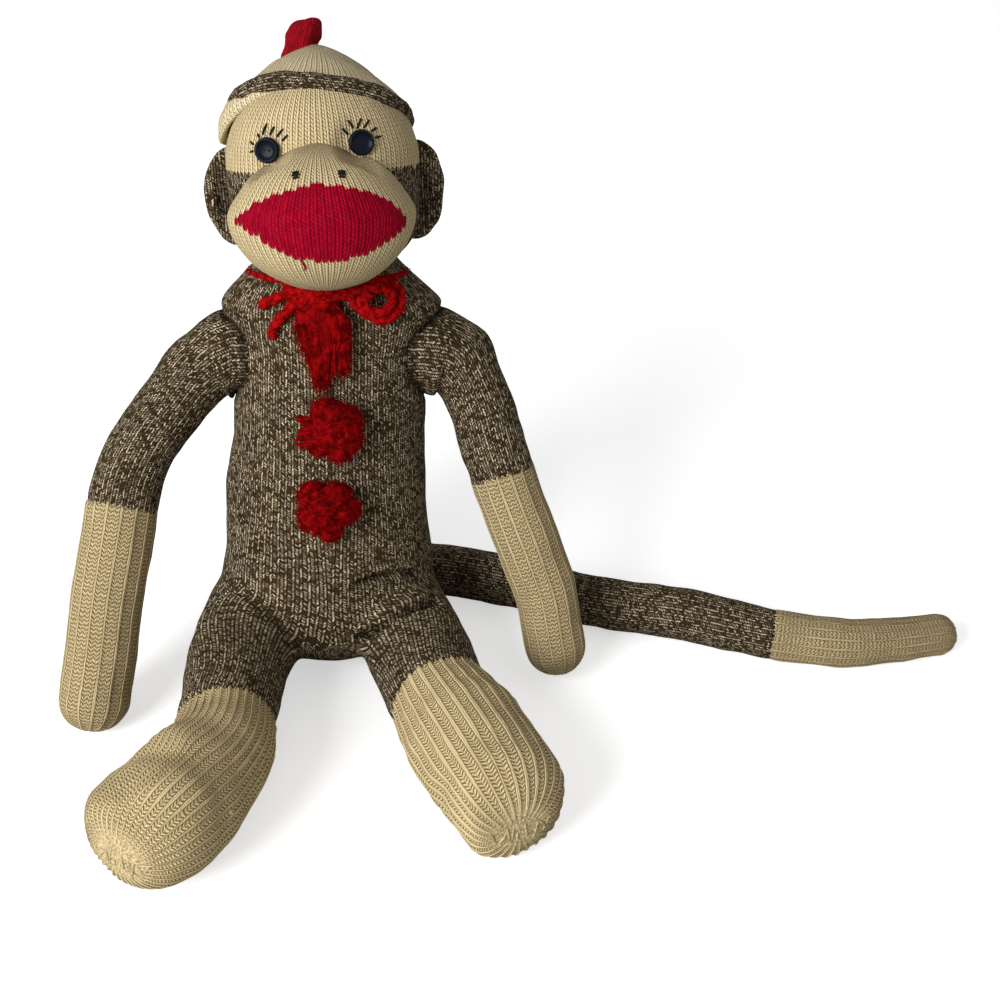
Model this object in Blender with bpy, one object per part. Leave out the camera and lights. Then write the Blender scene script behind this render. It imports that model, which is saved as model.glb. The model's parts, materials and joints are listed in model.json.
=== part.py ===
"""Sock monkey doll, seated and leaning back, as separate stuffed, sewn and tied pieces.

Metres, +Z up. The doll faces -Y and sits on the floor at z = 0 with its origin under the seat.
Right and left are the doll's own sides: its right side is at -X.
"""
import bpy
import bmesh
from math import atan2, cos, pi, radians, sin
from mathutils import Matrix, Vector
from mathutils.bvhtree import BVHTree

# clearances
piece_gap = 0.0003
floor_flat = 0.0005
cut_overrun = 0.02

# posture
torso_lean = radians(17)
head_lean = radians(2.5)
nod_back = radians(15)
leg_raise = radians(10)
leg_lower = radians(75)

# torso: height along its own axis, from the seat to the neck
torso_height = 0.206
torso_half_width = 0.055
torso_half_depth = 0.042
seat_depth = 0.038
neck_half_width = 0.0335
neck_half_depth = 0.0315

# neck ball that the head turns and nods on
neck_ball_radius = 0.024
neck_ball_rise = 0.012
collar_clearing = 0.0135

# head and muzzle
head_height = 0.096
head_half_width = 0.0465
head_half_depth = 0.044
head_bottom_drop = 0.008
muzzle_half_width = 0.0435
muzzle_half_depth = 0.038
muzzle_half_height = 0.0365
muzzle_forward = 0.040
muzzle_rise = 0.0185

# ears
ear_half_height = 0.0245
ear_half_width = 0.0145
ear_half_thickness = 0.0065
ear_hollow_depth = 0.003
ear_out = 0.0435
ear_back = 0.003
ear_rise = 0.023

# cap: rolled band, crown and stuffed tip
cap_tilt = radians(22.5)
cap_roll = radians(5)
cap_rise = 0.061
cap_back = 0.0065
brim_radius = 0.0422
brim_yarn_roll = 0.0038
crown_height = 0.034
crown_radius = 0.043
tip_half_width = 0.0092
tip_half_height = 0.0098
tip_out = 0.0085

# face trim
button_diameter = 0.0114
button_thickness = 0.0028
button_rim = 0.0012
right_eye_out = 0.024
right_eye_rise = 0.0485
left_eye_out = 0.020
left_eye_rise = 0.0508
lash_length = 0.0052
lash_thickness = 0.0008
lash_clear = 0.0012
nostril_out = 0.0105
nostril_rise = 0.039
nostril_length = 0.0034
nostril_thickness = 0.0026

# yarn bow and pompoms on the chest
yarn_thickness = 0.0038
knot_half_width = 0.0065
knot_half_height = 0.0055
knot_below_neck = 0.0145
bow_loop_out = 0.0235
bow_loop_half_width = 0.0125
bow_loop_half_height = 0.0078
bow_loop_drop = 0.001
upper_end_reach = 0.028
upper_end_drop = 0.004
lower_end_reach = 0.022
lower_end_drop = 0.016
tassel_half_width = 0.0132
tassel_half_height = 0.0185
tassel_half_depth = 0.009
tassel_below_neck = 0.034
pompom_radius = 0.0163
pompom_sink = 0.008
middle_pompom_below_neck = 0.0712
lower_pompom_below_neck = 0.111

# arms
shoulder_below_neck = 0.041
shoulder_inset = 0.008
shoulder_radius = 0.022
shoulder_clearing = 0.012
hand_radius = 0.017
right_arm_out = 0.0664
right_arm_forward = 0.100
left_arm_out = 0.066
left_arm_forward = 0.065
hand_length = 0.112

# legs
hip_inset = 0.021
hip_forward = 0.008
hip_height = 0.031
hip_ball_radius = 0.0280
thigh_radius = 0.0268
ankle_radius = 0.0255
ankle_height = 0.027
foot_length = 0.102
right_foot_radius = 0.0318
left_foot_radius = 0.0292
right_ankle_out = 0.013
right_ankle_forward = 0.078
right_toe_out = 0.038
right_toe_forward = 0.147
left_ankle_out = 0.020
left_ankle_forward = 0.068
left_toe_out = 0.046
left_toe_forward = 0.136

# tail
tail_root_back = 0.037
tail_root_radius = 0.0150
tail_radius = 0.0140
tail_tip_radius = 0.0110
tail_reach = 0.324
tail_bow = 0.058
tail_cuff_share = 0.73

neck_height = torso_height - seat_depth
neck_ball_height = neck_height + neck_ball_rise
shoulder_height = neck_height - shoulder_below_neck
shoulder_out = torso_half_width - shoulder_inset
hip_out = torso_half_width - hip_inset
collection = bpy.context.scene.collection


def clear_scene():
    """Start from an empty scene."""
    for thing in list(bpy.data.objects):
        bpy.data.objects.remove(thing, do_unlink=True)


def finish_of(name, colour, roughness):
    """A plain finish in the piece's own colour."""
    material = bpy.data.materials.new(name)
    material.use_nodes = True
    shader = material.node_tree.nodes["Principled BSDF"]
    shader.inputs["Base Color"].default_value = (*colour, 1)
    shader.inputs["Roughness"].default_value = roughness
    shader.inputs["Metallic"].default_value = 0
    return material


def frame_at(name, place, turn=(0, 0, 0), parent=None):
    """An empty that carries pieces; a joint's empty stands on the joint's axis."""
    empty = bpy.data.objects.new(name, None)
    empty.location = place
    empty.rotation_euler = turn
    empty.parent = parent
    collection.objects.link(empty)
    return empty


def place_shape(shape, name, parent, colour, roughness=0.9):
    """Turn a bmesh into a named object with its own finish, carried by its frame."""
    bmesh.ops.recalc_face_normals(shape, faces=shape.faces)
    mesh = bpy.data.meshes.new(name)
    shape.to_mesh(mesh)
    shape.free()
    mesh.shade_smooth()
    mesh.set_sharp_from_angle(angle=radians(50))
    mesh.materials.append(finish_of(name, colour, roughness))
    piece = bpy.data.objects.new(name, mesh)
    piece.parent = parent
    collection.objects.link(piece)
    return piece


def place_cutter(shape, name, parent):
    """A hidden shape that only cuts others."""
    cutter = place_shape(shape, name, parent, thread_black)
    cutter.hide_render = True
    cutter.display_type = "WIRE"
    return cutter


def cut(piece, cutter):
    """Take the cutter's space out of a piece."""
    boolean = piece.modifiers.new("cut by " + cutter.name, "BOOLEAN")
    boolean.operation = "DIFFERENCE"
    boolean.solver = "EXACT"
    boolean.object = cutter


def between(shares, along):
    """Read a table of shares smoothly: rows start with the place along, and the rest is blended."""
    for lower, upper in zip(shares, shares[1:]):
        if along <= upper[0]:
            step = (along - lower[0]) / (upper[0] - lower[0])
            return [a + (b - a) * step for a, b in zip(lower[1:], upper[1:])]
    return list(shares[-1][1:])


def skin_rings(rings, sides, close_start="point", close_end="point"):
    """Skin a stuffed form over rings, each given as a matrix that scales and places a unit circle."""
    shape = bmesh.new()
    loops = []
    for ring in rings:
        corners = bmesh.ops.create_circle(shape, segments=sides, radius=1, matrix=ring)["verts"]
        loops.append(list(dict.fromkeys(edge for corner in corners for edge in corner.link_edges)))
    for one, other in zip(loops, loops[1:]):
        bmesh.ops.bridge_loops(shape, edges=one + other)
    for loop, closing in ((loops[0], close_start), (loops[-1], close_end)):
        cap = bmesh.ops.contextual_create(shape, geom=loop)["faces"]
        if closing == "point":
            bmesh.ops.poke(shape, faces=cap)
    return shape


def barrel(height, half_width, half_depth, shares, sides, base=0, grow=0):
    """A stuffed form that swells and narrows along its height; rows are height, width, depth, forward."""
    rings = []
    for height_share, width_share, depth_share, forward_share in shares:
        middle = Vector((0, -half_depth * forward_share, base + height * height_share))
        size = Matrix.Diagonal((half_width * width_share + grow, half_depth * depth_share + grow, 1, 1))
        rings.append(Matrix.Translation(middle) @ size)
    rings[0] = Matrix.Translation((0, 0, -grow)) @ rings[0]
    rings[-1] = Matrix.Translation((0, 0, grow)) @ rings[-1]
    return skin_rings(rings, sides)


def smooth_route(points, count):
    """Points spread evenly along a smooth curve through the route's own points."""
    fine = []
    steps = 16
    padded = [points[0] * 2 - points[1]] + list(points) + [points[-1] * 2 - points[-2]]
    for a, b, c, d in zip(padded, padded[1:], padded[2:], padded[3:]):
        for step in range(steps):
            t = step / steps
            pull = (b * 2 + (c - a) * t + (a * 2 - b * 5 + c * 4 - d) * t ** 2
                    + (b * 3 - a - c * 3 + d) * t ** 3)
            fine.append(pull / 2)
    fine.append(points[-1].copy())
    lengths = [0]
    for one, other in zip(fine, fine[1:]):
        lengths.append(lengths[-1] + (other - one).length)
    spread = []
    at = 0
    for number in range(count):
        wanted = lengths[-1] * number / (count - 1)
        while at < len(fine) - 2 and lengths[at + 1] < wanted:
            at += 1
        step = (wanted - lengths[at]) / (lengths[at + 1] - lengths[at])
        spread.append(fine[at].lerp(fine[at + 1], min(step, 1)))
    return spread, lengths[-1]


def ring_across(place, heading, radius, reference):
    """A ring square to the heading, with its first corner kept towards the reference."""
    side = reference.cross(heading).normalized()
    upper = heading.cross(side).normalized()
    turn = Matrix((side, upper, heading.normalized())).transposed().to_4x4()
    return Matrix.Translation(place) @ turn @ Matrix.Diagonal((radius, radius, 1, 1))


def limb(route, radius, shares, sides, start=0.0, end=1.0, round_start=0, round_end=0, first_heading=None,
         reference=Vector((1, 0, 0)), steps=11, grow=0):
    """A stuffed tube along a route between two shares of its length, with round or flat ends."""
    count = 61
    points, length = smooth_route(route, count)
    marks = [start + (end - start) * number / (steps - 1) for number in range(steps)]
    rings = []
    for number, mark in enumerate(marks):
        spot = mark * (count - 1)
        low = min(int(spot), count - 2)
        place = points[low].lerp(points[low + 1], spot - low)
        heading = points[min(low + 2, count - 1)] - points[max(low - 1, 0)]
        if first_heading and mark == 0:
            heading = first_heading
        size = radius * between(shares, mark)[0] + grow
        rings.append((place, heading.normalized(), size))
    arc = 4
    front = []
    back = []
    for number in range(arc):
        turn = (number + 1) / (arc + 0.4) * pi / 2
        if round_start:
            place, heading, size = rings[0]
            front.insert(0, (place - heading * (round_start + grow) * sin(turn), heading, size * cos(turn)))
        if round_end:
            place, heading, size = rings[-1]
            back.append((place + heading * (round_end + grow) * sin(turn), heading, size * cos(turn)))
    every = front + rings + back
    shape = skin_rings([ring_across(*ring, reference) for ring in every], sides,
                       "point" if round_start else "flat", "point" if round_end else "flat")
    return shape, length


def ellipsoid(half_sizes, place=(0, 0, 0), turn=None, around=16, up=9):
    """A plain stuffed ball, stretched to its three half sizes."""
    shape = bmesh.new()
    bmesh.ops.create_uvsphere(shape, u_segments=around, v_segments=up, radius=1)
    stretch = Matrix.Diagonal((*half_sizes, 1))
    turned = turn if turn else Matrix.Identity(4)
    bmesh.ops.transform(shape, matrix=Matrix.Translation(place) @ turned @ stretch, verts=shape.verts)
    return shape


def rod(one, other, radius, sides):
    """A straight round rod between two points."""
    shape = bmesh.new()
    heading = other - one
    turn = heading.to_track_quat("Z", "Y").to_matrix().to_4x4()
    bmesh.ops.create_cone(shape, cap_ends=True, segments=sides, radius1=radius, radius2=radius,
                          depth=heading.length, matrix=Matrix.Translation((one + other) / 2) @ turn)
    return shape


def turned(profile, sides, matrix=None):
    """A shape turned about Z from a profile of radius and height, first and last on the axis."""
    shape = bmesh.new()
    corners = [shape.verts.new((radius, 0, height)) for radius, height in profile]
    edges = [shape.edges.new(pair) for pair in zip(corners, corners[1:])]
    bmesh.ops.spin(shape, geom=corners + edges, axis=(0, 0, 1), cent=(0, 0, 0), steps=sides,
                   angle=2 * pi, use_merge=True)
    bmesh.ops.remove_doubles(shape, verts=shape.verts, dist=piece_gap / 10)
    if matrix:
        bmesh.ops.transform(shape, matrix=matrix, verts=shape.verts)
    return shape


def surface_of(pieces):
    """What the evaluated pieces look like to a ray, one tree for each."""
    bpy.context.view_layer.update()
    view = bpy.context.evaluated_depsgraph_get()
    return [BVHTree.FromObject(piece, view) for piece in pieces]


def front_point(trees, out, height):
    """The foremost point of the pieces at a place seen from the front, and the way it faces."""
    found = []
    for tree in trees:
        place, facing, _, _ = tree.ray_cast(Vector((out, -torso_height, height)), Vector((0, 1, 0)))
        if place:
            found.append((place.y, place, facing))
    _, place, facing = min(found, key=lambda hit: hit[0])
    return place, facing


def yarn(name, route, thickness, parent, colour):
    """A length of yarn as a round cord along its route."""
    curve = bpy.data.curves.new(name, "CURVE")
    curve.dimensions = "3D"
    curve.bevel_depth = thickness / 2
    curve.bevel_resolution = 2
    curve.use_fill_caps = True
    spline = curve.splines.new("POLY")
    spline.points.add(len(route) - 1)
    for point, place in zip(spline.points, route):
        point.co = (*place, 1)
    curve.materials.append(finish_of(name, colour, 0.9))
    cord = bpy.data.objects.new(name, curve)
    cord.parent = parent
    collection.objects.link(cord)
    return cord


heather_brown = (0.115, 0.080, 0.058)
knit_cream = (0.62, 0.52, 0.34)
yarn_red = (0.42, 0.008, 0.016)
button_navy = (0.010, 0.014, 0.030)
thread_black = (0.012, 0.011, 0.012)

# Rows of the torso: height, width, depth, forward bulge
torso_shares = (
    (0.008, 0.20, 0.22, 0), (0.038, 0.52, 0.55, 0), (0.088, 0.78, 0.79, 0), (0.160, 0.95, 0.94, 0),
    (0.233, 1.00, 1.00, 0.02), (0.354, 0.945, 1.00, 0.03), (0.476, 0.915, 0.98, 0.02), (0.597, 0.89, 0.95, 0),
    (0.694, 0.88, 0.91, 0), (0.791, 0.875, 0.87, 0), (0.864, 0.86, 0.83, 0), (0.922, 0.835, 0.79, 0),
    (0.948, 0.80, 0.77, 0), (0.966, 0.74, 0.765, 0),
)
# The leaning torso stands on the lowest point of its rows
seat_height = -floor_flat + max(
    torso_half_depth * (depth_share - forward_share) * sin(torso_lean)
    - (torso_height * height_share - seat_depth) * cos(torso_lean)
    for height_share, _, depth_share, forward_share in torso_shares)
# Rows of the head: height, width, depth, forward bulge
head_shares = (
    (0, 0.64, 0.64, 0), (0.030, 0.77, 0.77, 0), (0.082, 0.87, 0.87, 0), (0.163, 0.95, 0.95, 0),
    (0.276, 0.99, 0.99, 0), (0.408, 1.00, 1.00, 0), (0.551, 0.995, 1.00, 0), (0.653, 0.94, 0.955, 0.03),
    (0.735, 0.86, 0.89, 0.06), (0.806, 0.75, 0.81, 0.07), (0.867, 0.63, 0.72, 0.06),
    (0.918, 0.50, 0.62, 0.03), (0.962, 0.35, 0.45, 0), (0.992, 0.15, 0.19, 0),
)
crown_shares = ((-0.02, 1.00), (0.09, 0.965), (0.20, 0.90), (0.34, 0.79), (0.50, 0.66), (0.70, 0.47),
                (0.87, 0.26), (0.96, 0.13))


def torso_rows():
    """The torso's rows with its neck, whose two half sizes are its own."""
    width = neck_half_width / torso_half_width
    depth = neck_half_depth / torso_half_depth
    return torso_shares + ((0.978, width, depth, 0), (1, width, depth, 0))


def torso_form(grow=0):
    return barrel(torso_height, torso_half_width, torso_half_depth, torso_rows(), 24, -seat_depth, grow)


def head_form(grow=0):
    return barrel(head_height, head_half_width, head_half_depth, head_shares, 24, -head_bottom_drop, grow)


def torso_to_floor_frame(place):
    """A place in the torso's own leaning frame, in the frame of the floor."""
    return torso_frame.matrix_basis @ Vector(place)


def build_body():
    """Torso, neck ball and the cutters of the neck."""
    torso = place_shape(torso_form(), "torso", torso_frame, heather_brown)
    profile = []
    arc = 8
    low = -neck_ball_rise + piece_gap
    start = atan2(low, (neck_ball_radius ** 2 - low ** 2) ** 0.5)
    profile.append((0, low))
    for number in range(arc + 1):
        turn = start + (pi / 2 - start) * number / arc
        profile.append((neck_ball_radius * cos(turn), neck_ball_radius * sin(turn)))
    place_shape(turned(profile, 20), "neck", neck_turn_frame, heather_brown)
    return torso


def build_head():
    """Head, muzzle and ears, seated on each other and hollowed for the neck ball."""
    head = place_shape(head_form(), "head", head_frame, heather_brown)
    muzzle_place = (0, -muzzle_forward, muzzle_rise)
    muzzle_size = (muzzle_half_width, muzzle_half_depth, muzzle_half_height)
    muzzle = place_shape(ellipsoid(muzzle_size, muzzle_place, None, 22, 14), "muzzle", head_frame, knit_cream)
    socket_radius = (neck_ball_radius + piece_gap) / cos(pi / 20) ** 2
    socket = place_cutter(ellipsoid((socket_radius,) * 3, around=20, up=14), "neck_socket_cutter", head_frame)
    cut(head, socket)
    cut(muzzle, socket)
    collar_radius = neck_half_width + collar_clearing
    for name, angle in (("collar_cutter_level", 0), ("collar_cutter_back", nod_back)):
        top = Vector((0, 0, -neck_ball_rise + piece_gap))
        collar = rod(top - Vector((0, 0, cut_overrun)), top, collar_radius, 24)
        bmesh.ops.rotate(collar, verts=collar.verts, cent=(0, 0, 0), matrix=Matrix.Rotation(angle, 3, "X"))
        cutter = place_cutter(collar, name, neck_turn_frame)
        cut(head, cutter)
        cut(muzzle, cutter)
    head_cutter = place_cutter(head_form(piece_gap), "head_cutter", head_frame)
    cut(muzzle, head_cutter)
    for side, way in (("right", -1), ("left", 1)):
        size = (ear_half_width, ear_half_thickness, ear_half_height)
        place = Vector((way * ear_out, ear_back, ear_rise))
        ear = place_shape(ellipsoid(size, place, None, 16, 10), side + "_ear", head_frame, heather_brown)
        hollow_size = (ear_half_width * 0.72, ear_hollow_depth, ear_half_height * 0.78)
        hollow_place = place + Vector((way * ear_half_width * 0.12, -ear_half_thickness, 0))
        hollow = place_cutter(ellipsoid(hollow_size, hollow_place, None, 12, 8), side + "_ear_hollow_cutter",
                              head_frame)
        cut(ear, hollow)
        cut(ear, head_cutter)
    return head, muzzle, head_cutter


def build_cap(head_cutter):
    """Rolled band, crown and stuffed tip, all tilted with the cap."""
    arc = 8
    flat = []
    for number in range(arc):
        turn = 2 * pi * number / arc
        flat.append((brim_radius + brim_yarn_roll * cos(turn), brim_yarn_roll * sin(turn)))
    brims = []
    for name, grow in (("cap_brim", 0), ("cap_brim_cutter", piece_gap)):
        shape = bmesh.new()
        corners = []
        for radius, height in flat:
            grown = Vector((radius - brim_radius, height)).normalized() * grow
            corners.append(shape.verts.new((radius + grown.x, 0, height + grown.y)))
        edges = [shape.edges.new(pair) for pair in zip(corners, corners[1:] + corners[:1])]
        bmesh.ops.spin(shape, geom=corners + edges, axis=(0, 0, 1), cent=(0, 0, 0), steps=30, angle=2 * pi,
                       use_merge=True)
        brims.append(shape)
    brim = place_shape(brims[0], "cap_brim", cap_frame, heather_brown)
    brim_cutter = place_cutter(brims[1], "cap_brim_cutter", cap_frame)
    cut(brim, head_cutter)
    crowns = []
    for grow in (0, piece_gap):
        profile = [(0, crown_height * crown_shares[0][0] - grow)]
        for height_share, radius_share in crown_shares:
            profile.append((crown_radius * radius_share + grow, crown_height * height_share))
        profile.append((0, crown_height + grow))
        crowns.append(turned(profile, 26))
    crown = place_shape(crowns[0], "cap_crown", cap_frame, knit_cream)
    crown_cutter = place_cutter(crowns[1], "cap_crown_cutter", cap_frame)
    cut(crown, brim_cutter)
    cut(crown, head_cutter)
    place = (-tip_out, 0, crown_height + tip_half_height * 0.45)
    size = (tip_half_width, tip_half_width, tip_half_height)
    turn = Matrix.Rotation(-cap_roll * 4, 4, "Y")
    tip = place_shape(ellipsoid(size, place, turn, 16, 10), "cap_tip", cap_frame, yarn_red)
    cut(tip, crown_cutter)


def build_face(head, muzzle):
    """Button eyes in shallow seats, lash stitches around them and two nostril stitches."""
    trees = surface_of((head, muzzle))
    radius = button_diameter / 2
    for side, way, out, rise, spread_shares in (
            ("right", -1, right_eye_out, right_eye_rise, (0.03, 0.20, 0.43, 0.57, 0.72, 0.86)),
            ("left", 1, left_eye_out, left_eye_rise, (0.14, 0.30, 0.50, 0.66, 0.80, 0.94))):
        place, facing = front_point(trees, way * out, rise)
        facing = (facing + Vector((0, -1, 0))).normalized()
        turn = facing.to_track_quat("Z", "Y").to_matrix().to_4x4()
        seat = Matrix.Translation(place - facing * button_thickness * 0.35) @ turn
        rim_in = radius - button_rim
        profile = ((0, 0), (radius * 0.86, 0), (radius, button_thickness * 0.3),
                   (radius, button_thickness * 0.7), (radius - button_rim * 0.4, button_thickness),
                   (rim_in, button_thickness), (rim_in - button_rim * 0.5, button_thickness * 0.66),
                   (0, button_thickness * 0.62))
        place_shape(turned(profile, 18, seat), side + "_eye_button", head_frame, button_navy, 0.25)
        pocket = turned(((0, -piece_gap), (radius + piece_gap, -piece_gap),
                         (radius + piece_gap, cut_overrun), (0, cut_overrun)), 18, seat)
        cutter = place_cutter(pocket, side + "_eye_pocket_cutter", head_frame)
        cut(head, cutter)
        cut(muzzle, cutter)
        for number, share in enumerate(spread_shares):
            angle = pi - share * pi
            ends = []
            for reach in (radius + lash_clear, radius + lash_clear + lash_length):
                spot, spot_facing = front_point(trees, way * out + reach * cos(angle),
                                                rise + reach * sin(angle))
                ends.append(spot + spot_facing * (lash_thickness / 2 + piece_gap * 2))
            lash = rod(ends[0], ends[1], lash_thickness / 2, 6)
            place_shape(lash, f"{side}_lash_{number + 1}", head_frame, thread_black)
        spot, spot_facing = front_point(trees, way * nostril_out, nostril_rise)
        turn = spot_facing.to_track_quat("Y", "Z").to_matrix().to_4x4()
        size = (nostril_length / 2, nostril_thickness / 2, nostril_thickness / 2)
        middle = spot + spot_facing * (nostril_thickness / 2 + piece_gap)
        place_shape(ellipsoid(size, middle, turn, 10, 6), side + "_nostril_stitch", head_frame, thread_black)


def build_chest(torso, torso_cutter):
    """The neck's yarn tie and bow, and the row of pompoms."""
    trees = surface_of((torso,))
    yarn_radius = yarn_thickness / 2
    tie_height = neck_height - yarn_radius - piece_gap * 3
    knot_height = neck_height - knot_below_neck
    front, _ = front_point(trees, 0, knot_height)
    knot_place = Vector((0, front.y - knot_half_height * 0.6, knot_height))
    knot_size = (knot_half_width, knot_half_height, knot_half_height)
    knot = place_shape(ellipsoid(knot_size, knot_place, None, 14, 9), "bow_knot", torso_frame, yarn_red)
    cut(knot, torso_cutter)
    knot_room = [half + piece_gap for half in knot_size]
    knot_cutter = place_cutter(ellipsoid(knot_room, knot_place, None, 14, 9), "knot_cutter", torso_frame)
    width = neck_half_width + yarn_radius + piece_gap
    depth = neck_half_depth + yarn_radius + piece_gap
    turns = 40
    opening = 3
    ring = []
    for number in range(opening, turns - opening + 1):
        angle = 2 * pi * number / turns - pi / 2
        ring.append(Vector((width * cos(angle), depth * sin(angle), tie_height)))
    over_knot = knot_height + knot_half_height + yarn_radius
    ring.insert(0, Vector((knot_half_width * 0.62, knot_place.y, over_knot)))
    ring.append(Vector((-knot_half_width * 0.62, knot_place.y, over_knot)))
    route, _ = smooth_route(ring, 34)
    yarn("neck_tie", route, yarn_thickness, torso_frame, yarn_red)

    def lay(out, height):
        """A place for yarn that lies on the chest."""
        spot, facing = front_point(trees, out, height)
        return spot + facing * (yarn_radius + piece_gap * 2)

    start = Vector((knot_half_width + piece_gap * 2, knot_place.y, knot_height))
    loop = [start, start + Vector((yarn_thickness, 0, 0))]
    corners = 12
    for number in range(1, corners):
        angle = pi * 1.15 - 1.9 * pi * number / corners
        out = bow_loop_out + bow_loop_half_width * cos(angle)
        loop.append(lay(out, knot_height - bow_loop_drop + bow_loop_half_height * sin(angle)))
    route, _ = smooth_route(loop, 22)
    yarn("bow_loop", route, yarn_thickness, torso_frame, yarn_red)
    for name, reach, drop, rise in (
            ("bow_end_upper", upper_end_reach, upper_end_drop, knot_half_height * 0.45),
            ("bow_end_lower", lower_end_reach, lower_end_drop, -knot_half_height * 0.45)):
        start = Vector((-knot_half_width - piece_gap * 3, knot_place.y, knot_height + rise))
        points = [start, start - Vector((yarn_thickness, 0, 0))]
        points.append(lay(-reach * 0.62, knot_height + rise - drop * 0.25))
        points.append(lay(-reach * 0.85, knot_height + rise - drop * 0.6))
        points.append(lay(-reach, knot_height - drop))
        route, _ = smooth_route(points, 12)
        yarn(name, route, yarn_thickness, torso_frame, yarn_red)
    tassel_size = (tassel_half_width, tassel_half_depth, tassel_half_height)
    pompom_size = (pompom_radius,) * 3
    for name, size, below_neck, sink in (
            ("tassel_pompom", tassel_size, tassel_below_neck, tassel_half_depth * 0.45),
            ("middle_pompom", pompom_size, middle_pompom_below_neck, pompom_sink),
            ("lower_pompom", pompom_size, lower_pompom_below_neck, pompom_sink)):
        spot, _ = front_point(trees, 0, neck_height - below_neck)
        place = spot + Vector((0, sink - size[1] + piece_gap, 0))
        pompom = place_shape(ellipsoid(size, place, None, 14, 9), name, torso_frame, yarn_red)
        cut(pompom, torso_cutter)
        if name == "tassel_pompom":
            cut(pompom, knot_cutter)


arm_shares = ((0, 1.0), (0.10, 0.96), (0.22, 0.89), (0.45, 0.83), (0.75, 0.79), (1, 0.775))
# Rows of an arm's route: out, forward, down
right_arm_route_shares = (
    (0, 0, 0), (0.24, 0.03, 0.05), (0.46, 0.15, 0.17), (0.65, 0.275, 0.28), (0.78, 0.38, 0.39),
    (0.87, 0.53, 0.53), (0.94, 0.71, 0.71), (0.975, 0.88, 0.87), (1, 1, 1),
)
left_arm_route_shares = (
    (0, 0, 0), (0.24, 0.03, 0.05), (0.41, 0.17, 0.175), (0.50, 0.31, 0.31), (0.59, 0.43, 0.44),
    (0.69, 0.56, 0.56), (0.81, 0.69, 0.69), (0.92, 0.82, 0.82), (1, 1, 1),
)


def build_arms(torso):
    """Two arms, each one stuffed tube of heather knit that ends in a cream hand."""
    for side, way, out, forward, route_shares in (
            ("right", -1, right_arm_out, right_arm_forward, right_arm_route_shares),
            ("left", 1, left_arm_out, left_arm_forward, left_arm_route_shares)):
        axis = torso_to_floor_frame((way * shoulder_out, 0, shoulder_height))
        frame = frame_at(side + "_shoulder_axis", axis)
        drop = axis.z - hand_radius + floor_flat
        route = []
        for out_share, forward_share, drop_share in route_shares:
            route.append(Vector((way * (piece_gap + out * out_share), -forward * forward_share,
                                 -drop * drop_share)))
        _, length = smooth_route(route, 2)
        cuff = 1 - (hand_length - hand_radius) / length
        seam = piece_gap / length
        shared = {"sides": 16, "first_heading": Vector((way, 0, 0)), "reference": Vector((0, 1, 0))}
        arm, _ = limb(route, shoulder_radius, arm_shares, start=0, end=cuff - seam, steps=9, **shared)
        place_shape(arm, side + "_arm", frame, heather_brown)
        hand, _ = limb(route, shoulder_radius, arm_shares, start=cuff + seam, end=1,
                       round_end=hand_radius, steps=6, **shared)
        hand_piece = place_shape(hand, side + "_hand", frame, knit_cream)
        cut(hand_piece, floor_cutter)
        inner = Vector((way * shoulder_out, 0, shoulder_height))
        outer = inner + Vector((way * cut_overrun, 0, 0))
        clearing = rod(inner, outer, shoulder_radius + shoulder_clearing, 20)
        cut(torso, place_cutter(clearing, side + "_shoulder_cutter", torso_frame))


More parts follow.
